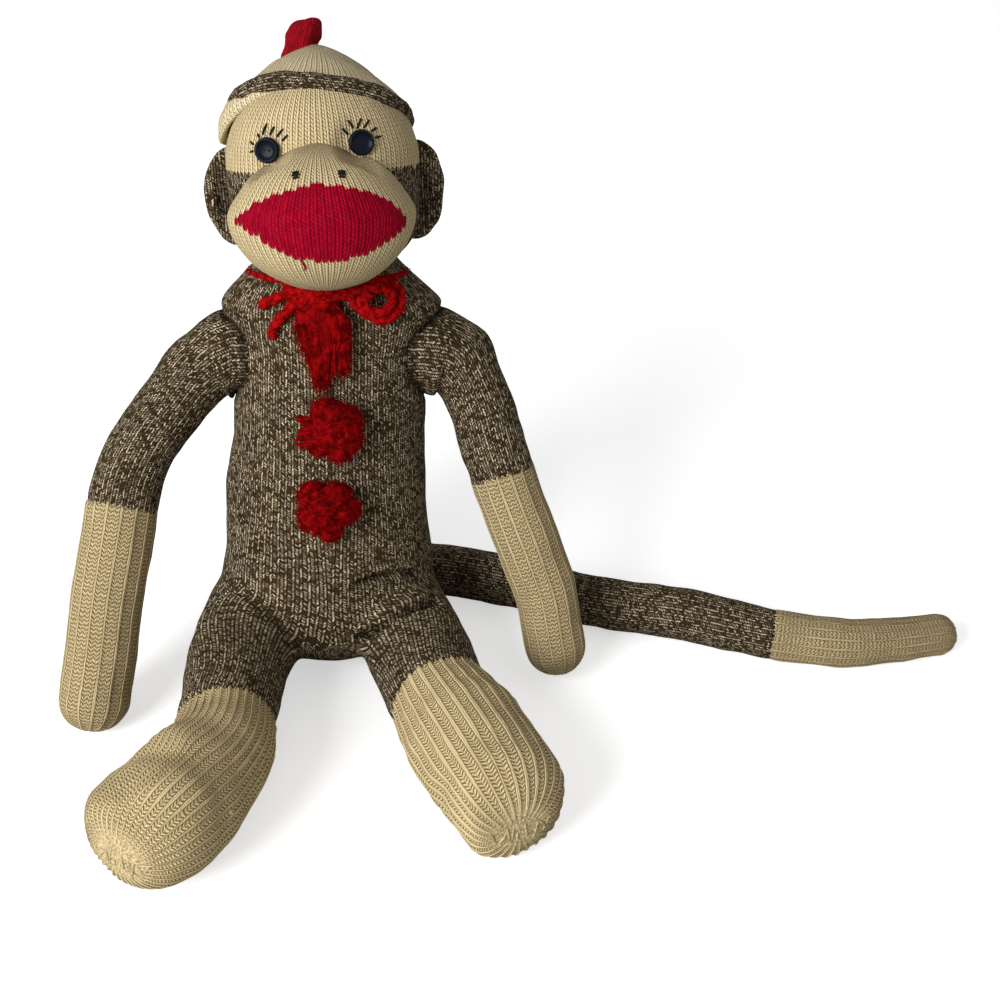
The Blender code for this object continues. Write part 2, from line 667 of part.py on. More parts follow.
def build_legs(torso):
    """Two legs, each a stuffed tube with a ball at the hip and a thick cream foot."""
    for side, way, ankle_out, ankle_forward, toe_out, toe_forward, foot_radius in (
            ("right", -1, right_ankle_out, right_ankle_forward,
             right_toe_out, right_toe_forward, right_foot_radius),
            ("left", 1, left_ankle_out, left_ankle_forward,
             left_toe_out, left_toe_forward, left_foot_radius)):
        frame = frame_at(side + "_hip_axis", (way * hip_out, -hip_forward, hip_height))
        ankle = Vector((way * ankle_out, -ankle_forward, ankle_height - hip_height))
        toe = Vector((way * toe_out, -toe_forward, foot_radius - floor_flat - hip_height))
        route = [Vector((0, 0, 0)), ankle * 0.5, ankle, ankle.lerp(toe, 0.5), toe]
        _, length = smooth_route(route, 2)
        cuff = 1 - (foot_length - foot_radius) / length
        swell = (1 - cuff) * 0.45
        leg_sizes = ((0, thigh_radius), (cuff * 0.5, thigh_radius), (cuff, ankle_radius),
                     (cuff + swell * 0.5, (ankle_radius + foot_radius) / 2), (cuff + swell, foot_radius),
                     (1, foot_radius))
        seam = piece_gap / length
        shared = {"sides": 18, "reference": Vector((0, 0, 1))}
        thigh, _ = limb(route, 1, leg_sizes, start=0, end=cuff - seam, round_start=thigh_radius,
                        steps=5, **shared)
        ball_shape = ellipsoid((hip_ball_radius,) * 3, around=20, up=12)
        ball = place_cutter(ball_shape, side + "_hip_ball", frame)
        thigh_piece = place_shape(thigh, side + "_thigh", frame, heather_brown)
        join = thigh_piece.modifiers.new("hip ball", "BOOLEAN")
        join.operation = "UNION"
        join.solver = "EXACT"
        join.object = ball
        foot, _ = limb(route, 1, leg_sizes, start=cuff + seam, end=1, round_end=foot_radius,
                       steps=6, **shared)
        foot_piece = place_shape(foot, side + "_foot", frame, knit_cream)
        cut(foot_piece, floor_cutter)

        socket_radius = (hip_ball_radius + piece_gap) / cos(pi / 20) ** 2
        socket = ellipsoid((socket_radius,) * 3, around=20, up=14)
        cut(torso, place_cutter(socket, side + "_hip_socket_cutter", frame))
        wide = (thigh_radius + piece_gap * 2) / cos(pi / 20)
        splay = atan2(ankle_out, ankle_forward)
        reach = torso_half_depth * 1.5
        slab = bmesh.new()
        corners = []
        for out, forward in ((-wide / cos(splay), 0), (wide / cos(splay), 0),
                             (wide / cos(splay) + reach * sin(splay), reach),
                             (-wide / cos(splay) + reach * sin(splay), reach)):
            corners.append(slab.verts.new((way * out, -forward, 0)))
        face = slab.faces.new(corners)
        raised = Matrix.Rotation(-leg_raise, 3, "X")
        bmesh.ops.rotate(slab, verts=slab.verts, cent=(0, 0, 0), matrix=raised)
        bmesh.ops.spin(slab, geom=[face] + list(face.edges) + corners, axis=(1, 0, 0), cent=(0, 0, 0),
                       steps=8, angle=leg_raise + leg_lower)
        bmesh.ops.remove_doubles(slab, verts=slab.verts, dist=piece_gap / 10)
        cut(torso, place_cutter(slab, side + "_leg_sweep_cutter", frame))
        for name, angle in (("raised", -leg_raise), ("lowered", leg_lower)):
            heading = Vector((way * reach * sin(splay), -reach * cos(splay), 0))
            tube = rod(Vector((0, 0, 0)), heading, wide, 20)
            bmesh.ops.rotate(tube, verts=tube.verts, cent=(0, 0, 0), matrix=Matrix.Rotation(angle, 3, "X"))
            cut(torso, place_cutter(tube, f"{side}_leg_{name}_cutter", frame))


tail_shares = ((0, 1.0), (0.6, 1.0), (0.8, 0.92), (1, 0.78))
# Rows of the tail's route: reach sideways, bow to the front
tail_route_shares = (
    (0, 0), (0.085, -0.17), (0.184, -0.17), (0.307, 0.05), (0.436, 0.345), (0.586, 0.57), (0.721, 0.845),
    (0.856, 1.0), (1, 0.90),
)


def build_tail(torso):
    """The tail: a thin stuffed tube that lies on the floor, with a cream end."""
    frame = frame_at("tail_axis", (0, tail_root_back, 0))
    route = []
    for reach_share, bow_share in tail_route_shares:
        radius = tail_radius * between(tail_shares, reach_share)[0]
        route.append(Vector((tail_reach * reach_share, -tail_bow * bow_share, radius - floor_flat)))
    seam = piece_gap / (2 * tail_reach)
    shared = {"sides": 12, "reference": Vector((0, 0, 1))}
    tail, _ = limb(route, tail_radius, tail_shares, start=0, end=tail_cuff_share - seam,
                   round_start=tail_radius, steps=12, **shared)
    tail_piece = place_shape(tail, "tail", frame, heather_brown)
    cut(tail_piece, floor_cutter)
    tip, _ = limb(route, tail_radius, tail_shares, start=tail_cuff_share + seam, end=1,
                  round_end=tail_tip_radius, steps=6, **shared)
    tip_piece = place_shape(tip, "tail_end", frame, knit_cream)
    cut(tip_piece, floor_cutter)
    socket = ellipsoid((tail_root_radius,) * 3, (0, 0, tail_radius - floor_flat), None, 20, 14)
    cut(torso, place_cutter(socket, "tail_socket_cutter", frame))
    grown, _ = limb(route, tail_radius, tail_shares, start=0, end=0.25, steps=6, grow=piece_gap * 3, **shared)
    cut(torso, place_cutter(grown, "tail_root_cutter", frame))


clear_scene()
torso_frame = frame_at("torso_frame", (0, 0, seat_height), (-torso_lean, 0, 0))
neck_turn_frame = frame_at("neck_turn_axis", (0, 0, neck_ball_height), parent=torso_frame)
head_frame = frame_at("head_nod_axis", (0, 0, neck_ball_height), (0, -head_lean, 0), torso_frame)
cap_frame = frame_at("cap_frame", (0, cap_back, cap_rise), (-cap_tilt, cap_roll, 0), head_frame)
torso_cutter = place_cutter(torso_form(piece_gap), "torso_cutter", torso_frame)
floor_shape = bmesh.new()
floor_size = Matrix.Diagonal((tail_reach * 3, tail_reach * 3, cut_overrun, 1))
bmesh.ops.create_cube(floor_shape, size=1, matrix=Matrix.Translation((0, 0, -cut_overrun / 2)) @ floor_size)
floor_cutter = place_cutter(floor_shape, "floor_cutter", None)

torso_piece = build_body()
head_piece, muzzle_piece, head_room = build_head()
build_cap(head_room)
build_face(head_piece, muzzle_piece)
build_chest(torso_piece, torso_cutter)
build_arms(torso_piece)
build_legs(torso_piece)
build_tail(torso_piece)
cut(torso_piece, floor_cutter)
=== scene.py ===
import bpy
import bmesh
import json
import random
from math import atan2, cos, hypot, pi, radians, sin, sqrt
from mathutils import Matrix, Vector, noise
from mathutils.bvhtree import BVHTree
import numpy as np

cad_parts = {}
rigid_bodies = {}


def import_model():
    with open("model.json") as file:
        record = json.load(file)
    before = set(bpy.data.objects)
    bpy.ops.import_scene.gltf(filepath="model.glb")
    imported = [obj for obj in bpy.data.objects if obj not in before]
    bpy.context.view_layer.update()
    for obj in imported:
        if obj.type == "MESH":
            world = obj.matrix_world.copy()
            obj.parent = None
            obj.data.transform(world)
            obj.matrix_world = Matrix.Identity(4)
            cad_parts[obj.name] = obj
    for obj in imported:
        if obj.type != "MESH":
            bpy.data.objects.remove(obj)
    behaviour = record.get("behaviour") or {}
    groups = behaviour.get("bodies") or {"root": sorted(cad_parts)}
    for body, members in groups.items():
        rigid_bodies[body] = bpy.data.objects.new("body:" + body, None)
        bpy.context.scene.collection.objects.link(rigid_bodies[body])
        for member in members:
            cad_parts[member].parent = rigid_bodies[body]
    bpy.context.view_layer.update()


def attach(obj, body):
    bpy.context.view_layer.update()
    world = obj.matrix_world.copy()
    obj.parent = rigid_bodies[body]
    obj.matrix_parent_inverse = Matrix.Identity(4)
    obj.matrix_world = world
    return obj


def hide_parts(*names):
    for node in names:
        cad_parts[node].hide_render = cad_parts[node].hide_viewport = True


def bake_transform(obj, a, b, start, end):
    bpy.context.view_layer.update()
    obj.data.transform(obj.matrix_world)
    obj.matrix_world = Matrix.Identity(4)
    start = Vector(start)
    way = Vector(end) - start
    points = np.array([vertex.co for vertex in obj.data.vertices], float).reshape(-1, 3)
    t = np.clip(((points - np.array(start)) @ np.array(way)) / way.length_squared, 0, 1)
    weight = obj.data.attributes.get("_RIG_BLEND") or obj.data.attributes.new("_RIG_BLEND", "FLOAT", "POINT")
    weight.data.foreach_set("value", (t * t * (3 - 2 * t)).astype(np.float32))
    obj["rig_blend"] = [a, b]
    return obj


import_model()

# The camera looks down on the seated doll from in front, where the photograph was taken.
# It is a plain 57.6 mm lens without shift or blur.
camera_place = Vector((0.03188, -0.67345, 0.54554))
camera_yaw = radians(4.564)
camera_down = radians(33.879)
camera_roll = radians(2.317)
look = Vector((sin(camera_yaw) * cos(camera_down), cos(camera_yaw) * cos(camera_down), -sin(camera_down)))
level = look.cross(Vector((0, 0, 1))).normalized()
upward = level.cross(look)
camera_data = bpy.data.cameras.new("photo_camera")
camera_data.lens = 57.6
camera_data.sensor_width = 36
camera_data.clip_start = 0.01
camera = bpy.data.objects.new("photo_camera", camera_data)


def axes_at(place, x, y, z):
    """A frame at a place, with its three axes along the given directions."""
    return Matrix.Translation(place) @ Matrix((x, y, z)).transposed().to_4x4()


camera.matrix_world = axes_at(camera_place, level * cos(camera_roll) + upward * sin(camera_roll),
                              upward * cos(camera_roll) - level * sin(camera_roll), -look)
scene_things = bpy.context.scene.collection.objects
scene_things.link(camera)
bpy.context.scene.camera = camera
bpy.context.scene.view_settings.view_transform = "Standard"

# A pale studio floor under the doll, which catches its soft shadow, and a white surround.
# One large soft lamp stands at the upper left, and a weak one fills from the right.
class Value:
    """A value in a material. Its sums are written as nodes."""

    def __init__(self, pattern, socket):
        self.pattern = pattern
        self.socket = socket

    def __add__(self, other):
        return self.pattern.sum("ADD", self, other)

    def __sub__(self, other):
        return self.pattern.sum("SUBTRACT", self, other)

    def __rsub__(self, other):
        return self.pattern.sum("SUBTRACT", other, self)

    def __mul__(self, other):
        return self.pattern.sum("MULTIPLY", self, other)

    def __pow__(self, other):
        return self.pattern.sum("POWER", self, other)

    def __abs__(self):
        return self.pattern.sum("ABSOLUTE", self)

    def __gt__(self, other):
        return self.pattern.sum("GREATER_THAN", self, other)

    def __lt__(self, other):
        return self.pattern.sum("LESS_THAN", self, other)

    def at_least(self, other):
        return self.pattern.sum("MAXIMUM", self, other)

    def floor(self):
        return self.pattern.sum("FLOOR", self)

    def zigzag(self):
        """1 at each whole number and 0 halfway between two of them."""
        return abs((self - self.floor()) * 2 - 1)

    def dome(self):
        """The height of a half circle over the places from -1 to 1."""
        return self.pattern.sum("SQRT", (1 - self * self).at_least(0))

    def steps(self, low, high):
        """0 below low, 1 above high, and smooth between."""
        return self.pattern.made("ShaderNodeMapRange", self, low, high, interpolation_type="SMOOTHSTEP")


class Pattern:
    """One material, written as sums."""

    def __init__(self, name):
        self.material = bpy.data.materials.new(name)
        self.material.use_nodes = True
        self.tree = self.material.node_tree
        self.shader = self.tree.nodes["Principled BSDF"]

    def feed(self, socket, value):
        if isinstance(value, Value):
            self.tree.links.new(value.socket, socket)
        else:
            socket.default_value = value

    def node(self, kind, *values, **settings):
        node = self.tree.nodes.new(kind)
        for key, value in settings.items():
            setattr(node, key, value)
        for socket, value in zip(node.inputs, values):
            self.feed(socket, value)
        return node

    def read(self, node, output=0):
        return Value(self, node.outputs[output])

    def made(self, kind, *values, **settings):
        return self.read(self.node(kind, *values, **settings))

    def sum(self, kind, *values):
        return self.made("ShaderNodeMath", *values, operation=kind)

    def mix(self, share, one, other):
        """The first colour where the share is 0 and the second where it is 1."""
        node = self.node("ShaderNodeMix", share, data_type="RGBA")
        for socket, colour in zip(node.inputs[6:8], (one, other)):
            self.feed(socket, colour if isinstance(colour, Value) else (*colour, 1))
        return self.read(node, 2)

    def knit_place(self):
        """The wales across the knit and the courses along it, from the UV map."""
        split = self.node("ShaderNodeSeparateXYZ", self.made("ShaderNodeUVMap", uv_map="knit"))
        return self.read(split, 0), self.read(split, 1)

    def mark(self, name):
        """A number that the mesh holds at each vertex."""
        return self.read(self.node("ShaderNodeAttribute", attribute_name=name), "Fac")

    def chance(self, *values):
        """A random share for each set of whole numbers."""
        place = self.made("ShaderNodeCombineXYZ", *values)
        return self.made("ShaderNodeTexWhiteNoise", place, noise_dimensions="3D")

    def clouds(self, scale, detail, *values):
        """Soft noise over the given values, or over the piece's own place."""
        if values:
            place = self.made("ShaderNodeCombineXYZ", *values)
        else:
            place = self.read(self.node("ShaderNodeTexCoord"), "Object")
        node = self.node("ShaderNodeTexNoise", place, noise_dimensions="3D")
        node.inputs["Scale"].default_value = scale
        node.inputs["Detail"].default_value = detail
        return self.read(node)

    def finish(self, colour, height=None, depth=0, roughness=0.95, specular=0.04):
        """Paint the material, with the height of its stitches or fibres as bump."""
        self.feed(self.shader.inputs["Base Color"], colour)
        self.shader.inputs["Roughness"].default_value = roughness
        self.shader.inputs["Specular IOR Level"].default_value = specular
        if height is not None:
            bump = self.node("ShaderNodeBump")
            bump.inputs["Strength"].default_value = 1
            bump.inputs["Distance"].default_value = depth
            self.feed(bump.inputs["Height"], height)
            self.feed(self.shader.inputs["Normal"], self.read(bump))
        return self.material


floor_half = 4
ground = bmesh.new()
bmesh.ops.create_grid(ground, x_segments=1, y_segments=1, size=floor_half)
ground_mesh = bpy.data.meshes.new("floor")
ground.to_mesh(ground_mesh)
ground.free()
studio_floor = bpy.data.objects.new("floor", ground_mesh)
scene_things.link(studio_floor)
pattern = Pattern("pale_floor")
camera_ray = pattern.read(pattern.node("ShaderNodeLightPath"), "Is Camera Ray")
floor_colour = pattern.mix(camera_ray, (0.55, 0.55, 0.55), (0.9, 0.9, 0.9))
ground_mesh.materials.append(pattern.finish(floor_colour, roughness=0.9, specular=0))
pattern.feed(pattern.shader.inputs["Emission Strength"], camera_ray * 0.56)
pattern.shader.inputs["Emission Color"].default_value = (1, 1, 1, 1)

surround = bpy.data.worlds.new("white_surround")
bpy.context.scene.world = surround
surround.use_nodes = True
sky = surround.node_tree
rays = sky.nodes.new("ShaderNodeLightPath")
seen = sky.nodes.new("ShaderNodeMath")
seen.operation = "MAXIMUM"
sky.links.new(rays.outputs["Is Camera Ray"], seen.inputs[0])
sky.links.new(rays.outputs["Is Glossy Ray"], seen.inputs[1])
strength = sky.nodes.new("ShaderNodeMapRange")
sky.links.new(seen.outputs[0], strength.inputs[0])
strength.inputs["To Min"].default_value = 0.35
strength.inputs["To Max"].default_value = 1
sky.links.new(strength.outputs[0], sky.nodes["Background"].inputs["Strength"])
sky.nodes["Background"].inputs["Color"].default_value = (1, 1, 1, 1)

doll_middle = Vector((0.02, -0.02, 0.12))
for name, place, width, power in (("key_lamp", (-1.15, -1.30, 0.98), 1.1, 45),
                                  ("fill_lamp", (1.3, -1.1, 1.0), 1.2, 2)):
    lamp_data = bpy.data.lights.new(name, "AREA")
    lamp_data.shape = "DISK"
    lamp_data.size = width
    lamp_data.energy = power
    lamp = bpy.data.objects.new(name, lamp_data)
    lamp.matrix_world = (Matrix.Translation(place)
                         @ (doll_middle - Vector(place)).to_track_quat("-Z", "Y").to_matrix().to_4x4())
    scene_things.link(lamp)


# Body and legs: one sock's leg, stuffed, drawn in at the neck and slit at the crotch, so that
# its knit runs down the belly and on along both legs. The body leans back 17 degrees.
torso_lean = radians(17)
seat_height = 0.036965
torso_place = Matrix.Translation((0, 0, seat_height)) @ Matrix.Rotation(-torso_lean, 4, "X")
# rows of the body up its own axis: height, half width, half depth, bulge to the front, in mm
torso_rows = (
    (-38.0, 4, 4, 0), (-36.4, 11, 9.2, 0.4), (-30.2, 28.6, 23.1, 1.6), (-19.9, 42.9, 33.2, 2.4),
    (-5.0, 52.3, 39.5, 1.4), (10.0, 55.0, 42.0, 0.8), (34.9, 52.0, 42.0, 1.3), (60.1, 50.3, 41.2, 0.8),
    (85.0, 49.0, 39.9, 0), (105.0, 48.4, 38.2, 0), (124.9, 48.3, 36.5, 0), (140.0, 49.4, 34.9, 0),
    (151.9, 47.0, 33.2, 0), (159.0, 45.0, 32.4, 0), (165.0, 41.0, 31.9, 0), (168.0, 38.2, 31.0, 0),
    (173.0, 33.5, 28.5, 0), (183.0, 27.5, 25.0, 0),
)
mm = 0.001


def smooth_rows(rows, count):
    """Rows read evenly from a smooth curve through the given rows of numbers."""
    spread = []
    for number in range(count):
        spot = number * (len(rows) - 1) / (count - 1)
        at = min(int(spot), len(rows) - 2)
        t = spot - at
        a, b, c, d = (rows[max(at - 1, 0)], rows[at], rows[at + 1], rows[min(at + 2, len(rows) - 1)])
        spread.append([(2 * q + (r - p) * t + (2 * p - 5 * q + 4 * r - s) * t ** 2
                        + (3 * q - p - 3 * r + s) * t ** 3) / 2 for p, q, r, s in zip(a, b, c, d)])
    return spread


def knit_tube(rings, sides, wales, course):
    """A closed knitted tube over rings, each a matrix that places a unit circle. Its UV map counts the
    stitches, and its layers hold each vertex's corner round the ring, -1 at the tips, and its reach."""
    shape = bmesh.new()
    knit = shape.loops.layers.uv.new("knit")
    corner_of = shape.verts.layers.float.new("corner")
    reach_of = shape.verts.layers.float.new("reach")
    loops = []
    reach = 0
    last_front = None
    for ring in rings:
        corners = bmesh.ops.create_circle(shape, segments=sides, radius=1, matrix=ring)["verts"]
        front = corners[sides // 2].co.copy()
        reach += (front - last_front).length if last_front else 0
        last_front = front
        for at, corner in enumerate(corners):
            corner[corner_of] = at
            corner[reach_of] = reach
        loops.append(list(dict.fromkeys(edge for corner in corners for edge in corner.link_edges)))
    for one, other in zip(loops, loops[1:]):
        bmesh.ops.bridge_loops(shape, edges=one + other)
    for loop, end_reach in ((loops[0], 0), (loops[-1], reach)):
        cap = bmesh.ops.contextual_create(shape, geom=loop)["faces"]
        tip = bmesh.ops.poke(shape, faces=cap)["verts"][0]
        tip[corner_of] = -1
        tip[reach_of] = end_reach
    bmesh.ops.recalc_face_normals(shape, faces=shape.faces)
    for face in shape.faces:
        turns = [loop.vert[corner_of] / sides for loop in face.loops]
        known = [turn for turn in turns if turn >= 0]
        wraps = max(known) - min(known) > 0.5
        known = [turn + 1 if wraps and turn < 0.5 else turn for turn in known]
        middle = sum(known) / len(known)
        for loop, turn in zip(face.loops, turns):
            if turn < 0:
                turn = middle
            elif wraps and turn < 0.5:
                turn += 1
            loop[knit].uv = (turn * wales, loop.vert[reach_of] / course)
    return shape


def smooth_route(points, count):
    """Points spread evenly along a smooth curve through the route's own points."""
    fine = [Vector(row) for row in smooth_rows([tuple(point) for point in points], 40 * len(points))]
    lengths = [0]
    for one, other in zip(fine, fine[1:]):
        lengths.append(lengths[-1] + (other - one).length)
    spread = []
    at = 0
    for number in range(count):
        wanted = lengths[-1] * number / (count - 1)
        while at < len(fine) - 2 and lengths[at + 1] < wanted:
            at += 1
        step = (wanted - lengths[at]) / max(lengths[at + 1] - lengths[at], 1e-9)
        spread.append(fine[at].lerp(fine[at + 1], min(step, 1)))
    return spread, lengths[-1]


def read_rows(rows, along):
    """The numbers of a table at a place along it, with a soft step between its rows."""
    for lower, upper in zip(rows, rows[1:]):
        if along <= upper[0]:
            step = (along - lower[0]) / (upper[0] - lower[0])
            step = step * step * (3 - 2 * step)
            return lower[1] + (upper[1] - lower[1]) * step
    return rows[-1][1]


def limb_rings(points, length, sizes, start, end, count, reference, round_start=0, round_end=0,
               first_heading=None):
    """Rings square to a route between two shares of its length, with their front turned to the reference."""
    last = len(points) - 1
    turning = 0.08
    rings = []
    for number in range(count):
        share = start + (end - start) * number / (count - 1)
        spot = share * last
        low = min(int(spot), last - 1)
        place = points[low].lerp(points[low + 1], spot - low)
        heading = (points[min(low + 3, last)] - points[max(low - 2, 0)]).normalized()
        if first_heading and share < turning:
            heading = first_heading.lerp(heading, share / turning).normalized()
        rings.append((place, heading, read_rows(sizes, share)))
    arc = 12
    for bulge, at in ((round_start, 0), (round_end, -1)):
        place, heading, size = rings[at]
        for number in range(1, arc + 1 if bulge else 0):
            turn = number / (arc + 0.5) * pi / 2
            if at:
                rings.append((place + heading * bulge * sin(turn), heading, size * cos(turn)))
            else:
                rings.insert(0, (place - heading * bulge * sin(turn), heading, size * cos(turn)))
    placed = []
    for place, heading, size in rings:
        side = reference.cross(heading).normalized()
        upper = heading.cross(side).normalized()
        placed.append(axes_at(place, -side, -upper, heading) @ Matrix.Diagonal((size, size, 1, 1)))
    return placed


def dress(shape, name, material, replaced, body):
    """Turn a bmesh into a finished piece that stands for its CAD nodes and moves with a body."""
    mesh = bpy.data.meshes.new(name)
    shape.to_mesh(mesh)
    shape.free()
    mesh.shade_smooth()
    mesh.materials.append(material)
    piece = bpy.data.objects.new(name, mesh)
    scene_things.link(piece)
    if replaced:
        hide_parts(*replaced)
    if body:
        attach(piece, body)
    return piece


def stocking_stitch(pattern, slant=1.5, waver=0.20):
    """The V stitches: the height of the yarn, its leg and row, and the place across and along the leg."""
    u, v = pattern.knit_place()
    sway = pattern.clouds(1, 2, u * 1.1, v * 0.9, 1) - 0.5
    lift = pattern.clouds(1, 2, u * 0.9, v * 0.8, 9) - 0.5
    u = u + sway * (waver * 2)
    v = v + lift * (waver * 5)
    column = u.floor()
    inside = u - column
    fold = abs(inside - 0.5)
    lifted = v + fold * slant
    across = fold * 4 - 1
    right_leg = inside > 0.5
    middle = (0 - across).at_least(0) * 0.3
    notch = lifted.zigzag() ** 3 * (0.62 - right_leg * 0.40)
    return {"height": (across.dome() + middle) * (1 - notch), "leg": (u * 2).floor(), "row": lifted.floor(),
            "u": u, "v": v, "column": column, "inside": inside, "lifted": lifted, "across": abs(across),
            "right_leg": right_leg}


def tint(colour, *shares):
    """A colour times one share, or times one share for each of its three parts."""
    return tuple(value * share for value, share in zip(colour, shares * 3))


def heather_colour(pattern, knit):
    """Ragg wool: a cream ply winds round dark brown ones, so pale dashes slant over one leg of each
    stitch and run straight up the other. Painted shade darkens its stitch hollows and the mesh's folds."""
    dark = (0.024, 0.0145, 0.0065)
    pale = (0.70, 0.59, 0.40)
    wound = knit["lifted"] * 1.45
    turn = wound.floor()
    ply = wound.zigzag()
    dash = (1 - ply.steps(0.22, 0.60)) * (1 - knit["across"].steps(0.50, 0.92))
    line = (1 - abs(knit["inside"] - 0.75).steps(0.04, 0.13)) * (1 - ply.steps(0.72, 1.0))
    pale_part = dash + knit["right_leg"] * (line.at_least(dash * 0.35) - dash)
    grain = pattern.chance(knit["leg"], turn, 3)
    streak = pattern.clouds(1, 2, knit["u"] * 0.33, knit["v"] * 0.62, 5)
    presence = (grain * 0.62 + streak * 0.55).steps(0.36, 0.66)
    bright = pattern.mix(pattern.chance(knit["leg"], turn, 8), tint(pale, 0.26), pale)
    deep = pattern.mix(pattern.clouds(60, 2), dark, tint(dark, 2.4))
    colour = pattern.mix(pale_part * presence, deep, bright)
    # painted shade in the hollows between the stitches
    colour = pattern.mix(knit["height"].steps(0.05, 0.5), tint(dark, 0.5), colour)
    # painted shade along the folds and seams that the mesh's fold layer marks
    return pattern.mix(pattern.mark("fold") * 0.85, colour, tint(dark, 0.35))


pattern = Pattern("heather_brown_knit")
knit = stocking_stitch(pattern)
heather = pattern.finish(heather_colour(pattern, knit), knit["height"], 0.0007)

course = 0.0019
body_wales = 92
leg_wales = 46
up = Vector((0, 0, 1))

torso_rings = []
for height, half_width, half_depth, bulge in smooth_rows(torso_rows, 60):
    middle = torso_place @ Vector((0, -bulge * mm, height * mm))
    size = Matrix.Diagonal((half_width * mm, half_depth * mm, 1, 1))
    torso_rings.append(Matrix.Translation(middle) @ Matrix.Rotation(-torso_lean, 4, "X") @ size)
body_form = knit_tube(torso_rings, 72, body_wales, course)

def add_shape(whole, shape):
    """Add one shape to another and free it."""
    mesh = bpy.data.meshes.new("shape")
    shape.to_mesh(mesh)
    shape.free()
    whole.from_mesh(mesh)
    bpy.data.meshes.remove(mesh)


# side, its sign along X, ankle and toe as (out, forward) of the hip, foot and ankle radius, how far the
# knee bends out and the instep in, the foot's length, and its radius at shares of its length
leg_shapes = (
    ("right", -1, (0.013, 0.078), (0.038, 0.147), 0.0318, 0.0236, 0.0045, 0.0085, 0.0965,
     ((0.35, 0.0250), (0.82, 0.0306))),
    ("left", 1, (0.020, 0.068), (0.046, 0.136), 0.0292, 0.0252, 0, 0, 0.0995,
     ((0.22, 0.0272), (0.45, 0.0290))),
)
hip_out = 0.034
hip_forward = 0.008
hip_height = 0.031
thigh_radius = 0.0268
ankle_height = 0.027
floor_sink = 0.0005
legs = {}
for side, way, ankle, toe, foot_radius, ankle_radius, knee_out, instep_in, foot_length, foot_rows in leg_shapes:
    hip = Vector((way * hip_out, -hip_forward, hip_height))
    ankle = hip + Vector((way * ankle[0], -ankle[1], ankle_height - hip_height))
    toe = hip + Vector((way * toe[0], -toe[1], foot_radius - floor_sink - hip_height))
    outward = Vector((way, 0, 0))
    points, length = smooth_route([hip, hip.lerp(ankle, 0.5) + outward * knee_out, ankle + outward * knee_out * 0.3,
                                   ankle.lerp(toe, 0.5) - outward * instep_in, toe], 121)
    cuff = 1 - (foot_length - foot_radius) / length
    sizes = [(0, thigh_radius), (cuff * 0.5, (thigh_radius + ankle_radius) / 2 + 0.0004), (cuff, ankle_radius)]
    sizes += [(cuff + (1 - cuff) * share, size) for share, size in foot_rows + ((1, foot_radius),)]
    legs[side] = {"hip": hip, "points": points, "length": length, "cuff": cuff, "sizes": sizes,
                  "foot_radius": foot_radius}
    rings = limb_rings(points, length, sizes, 0, cuff, 24, up, round_start=thigh_radius)
    add_shape(body_form, knit_tube(rings, 48, leg_wales, course))


def final_shape(holder):
    """The mesh that an object's bevel or modifiers make. The object is removed."""
    bpy.context.view_layer.update()
    mesh = bpy.data.meshes.new_from_object(holder.evaluated_get(bpy.context.evaluated_depsgraph_get()))
    bpy.data.objects.remove(holder)
    shape = bmesh.new()
    shape.from_mesh(mesh)
    bpy.data.meshes.remove(mesh)
    return shape


def one_skin(shape, voxel, rounds):
    """Grow overlapping shapes into one even skin, smoothed for a number of rounds."""
    mesh = bpy.data.meshes.new("skin")
    shape.to_mesh(mesh)
    shape.free()
    holder = bpy.data.objects.new("skin", mesh)
    scene_things.link(holder)
    remesh = holder.modifiers.new("one_skin", "REMESH")
    remesh.mode = "VOXEL"
    remesh.voxel_size = voxel
    ease = holder.modifiers.new("ease", "SMOOTH")
    ease.factor = 0.5
    ease.iterations = rounds
    return final_shape(holder)


body_skin = one_skin(body_form, 0.0022, 16)


def fading(value):
    """1 at 0, and less and less the larger the value is."""
    return 2.718 ** -value


def ease_in(value):
    """0 below 0, 1 above 1, and smooth between."""
    value = min(max(value, 0), 1)
    return value * value * (3 - 2 * value)


def lumps(shape, size, depth, seed=0):
    """The soft unevenness of stuffing: the skin moves in and out over lengths of about size."""
    shape.normal_update()
    for vert in shape.verts:
        spot = vert.co / size + Vector((seed, seed * 2, seed * 3))
        vert.co += vert.normal * (noise.noise(spot) + 0.4 * noise.noise(spot * 2.3)) * depth


def crease(shape, line, width, depth):
    """A fold pressed into the skin along a line, with the cloth pushed up a little on both sides. A fold deeper than
    it is wide also gets painted shade in the fold layer.
    """
    fold = shape.verts.layers.float.get("fold") or shape.verts.layers.float.new("fold")
    shape.normal_update()
    for vert in shape.verts:
        distances = []
        for one, other in zip(line, line[1:]):
            span = other - one
            share = min(max((vert.co - one).dot(span) / span.length_squared, 0), 1)
            distances.append((vert.co - one.lerp(other, share)).length)
        ratio = min(distances) / width
        if ratio < 4:
            # painted shade for a deep fold, which the heather knit reads from the fold layer
            if depth > width:
                vert[fold] = max(vert[fold], fading((ratio * 1.15) ** 2))
            vert.co += vert.normal * (ratio ** 2 * 0.9 - 1) * fading(ratio ** 2 * 0.8) * depth


def rest_on_floor(shape):
    """Flatten what would sink into the floor."""
    for vert in shape.verts:
        vert.co.z = max(vert.co.z, 0.0002)


def press(shape, spot, heading, reach, depth):
    """Push the stuffing in over a broad place, as a hand would."""
    for vert in shape.verts:
        vert.co += heading * depth * fading(((vert.co - spot).length / reach) ** 4)


# the doll sags a little to its right, and its left shoulder stands out further
into_torso = torso_place.inverted()
for vert in body_skin.verts:
    own = into_torso @ vert.co
    height = own.z / mm
    vert.co.x -= 0.0023 * ease_in((height + 25) / 35) * ease_in((104 - height) / 45)
    shoulder_part = fading(((height - 150.5) / 9.5) ** 2) * ease_in(abs(own.x) / 0.044)
    vert.co.x += (0.0098 if own.x > 0 else -0.0062) * shoulder_part
lumps(body_skin, 0.026, 0.0013, 1)
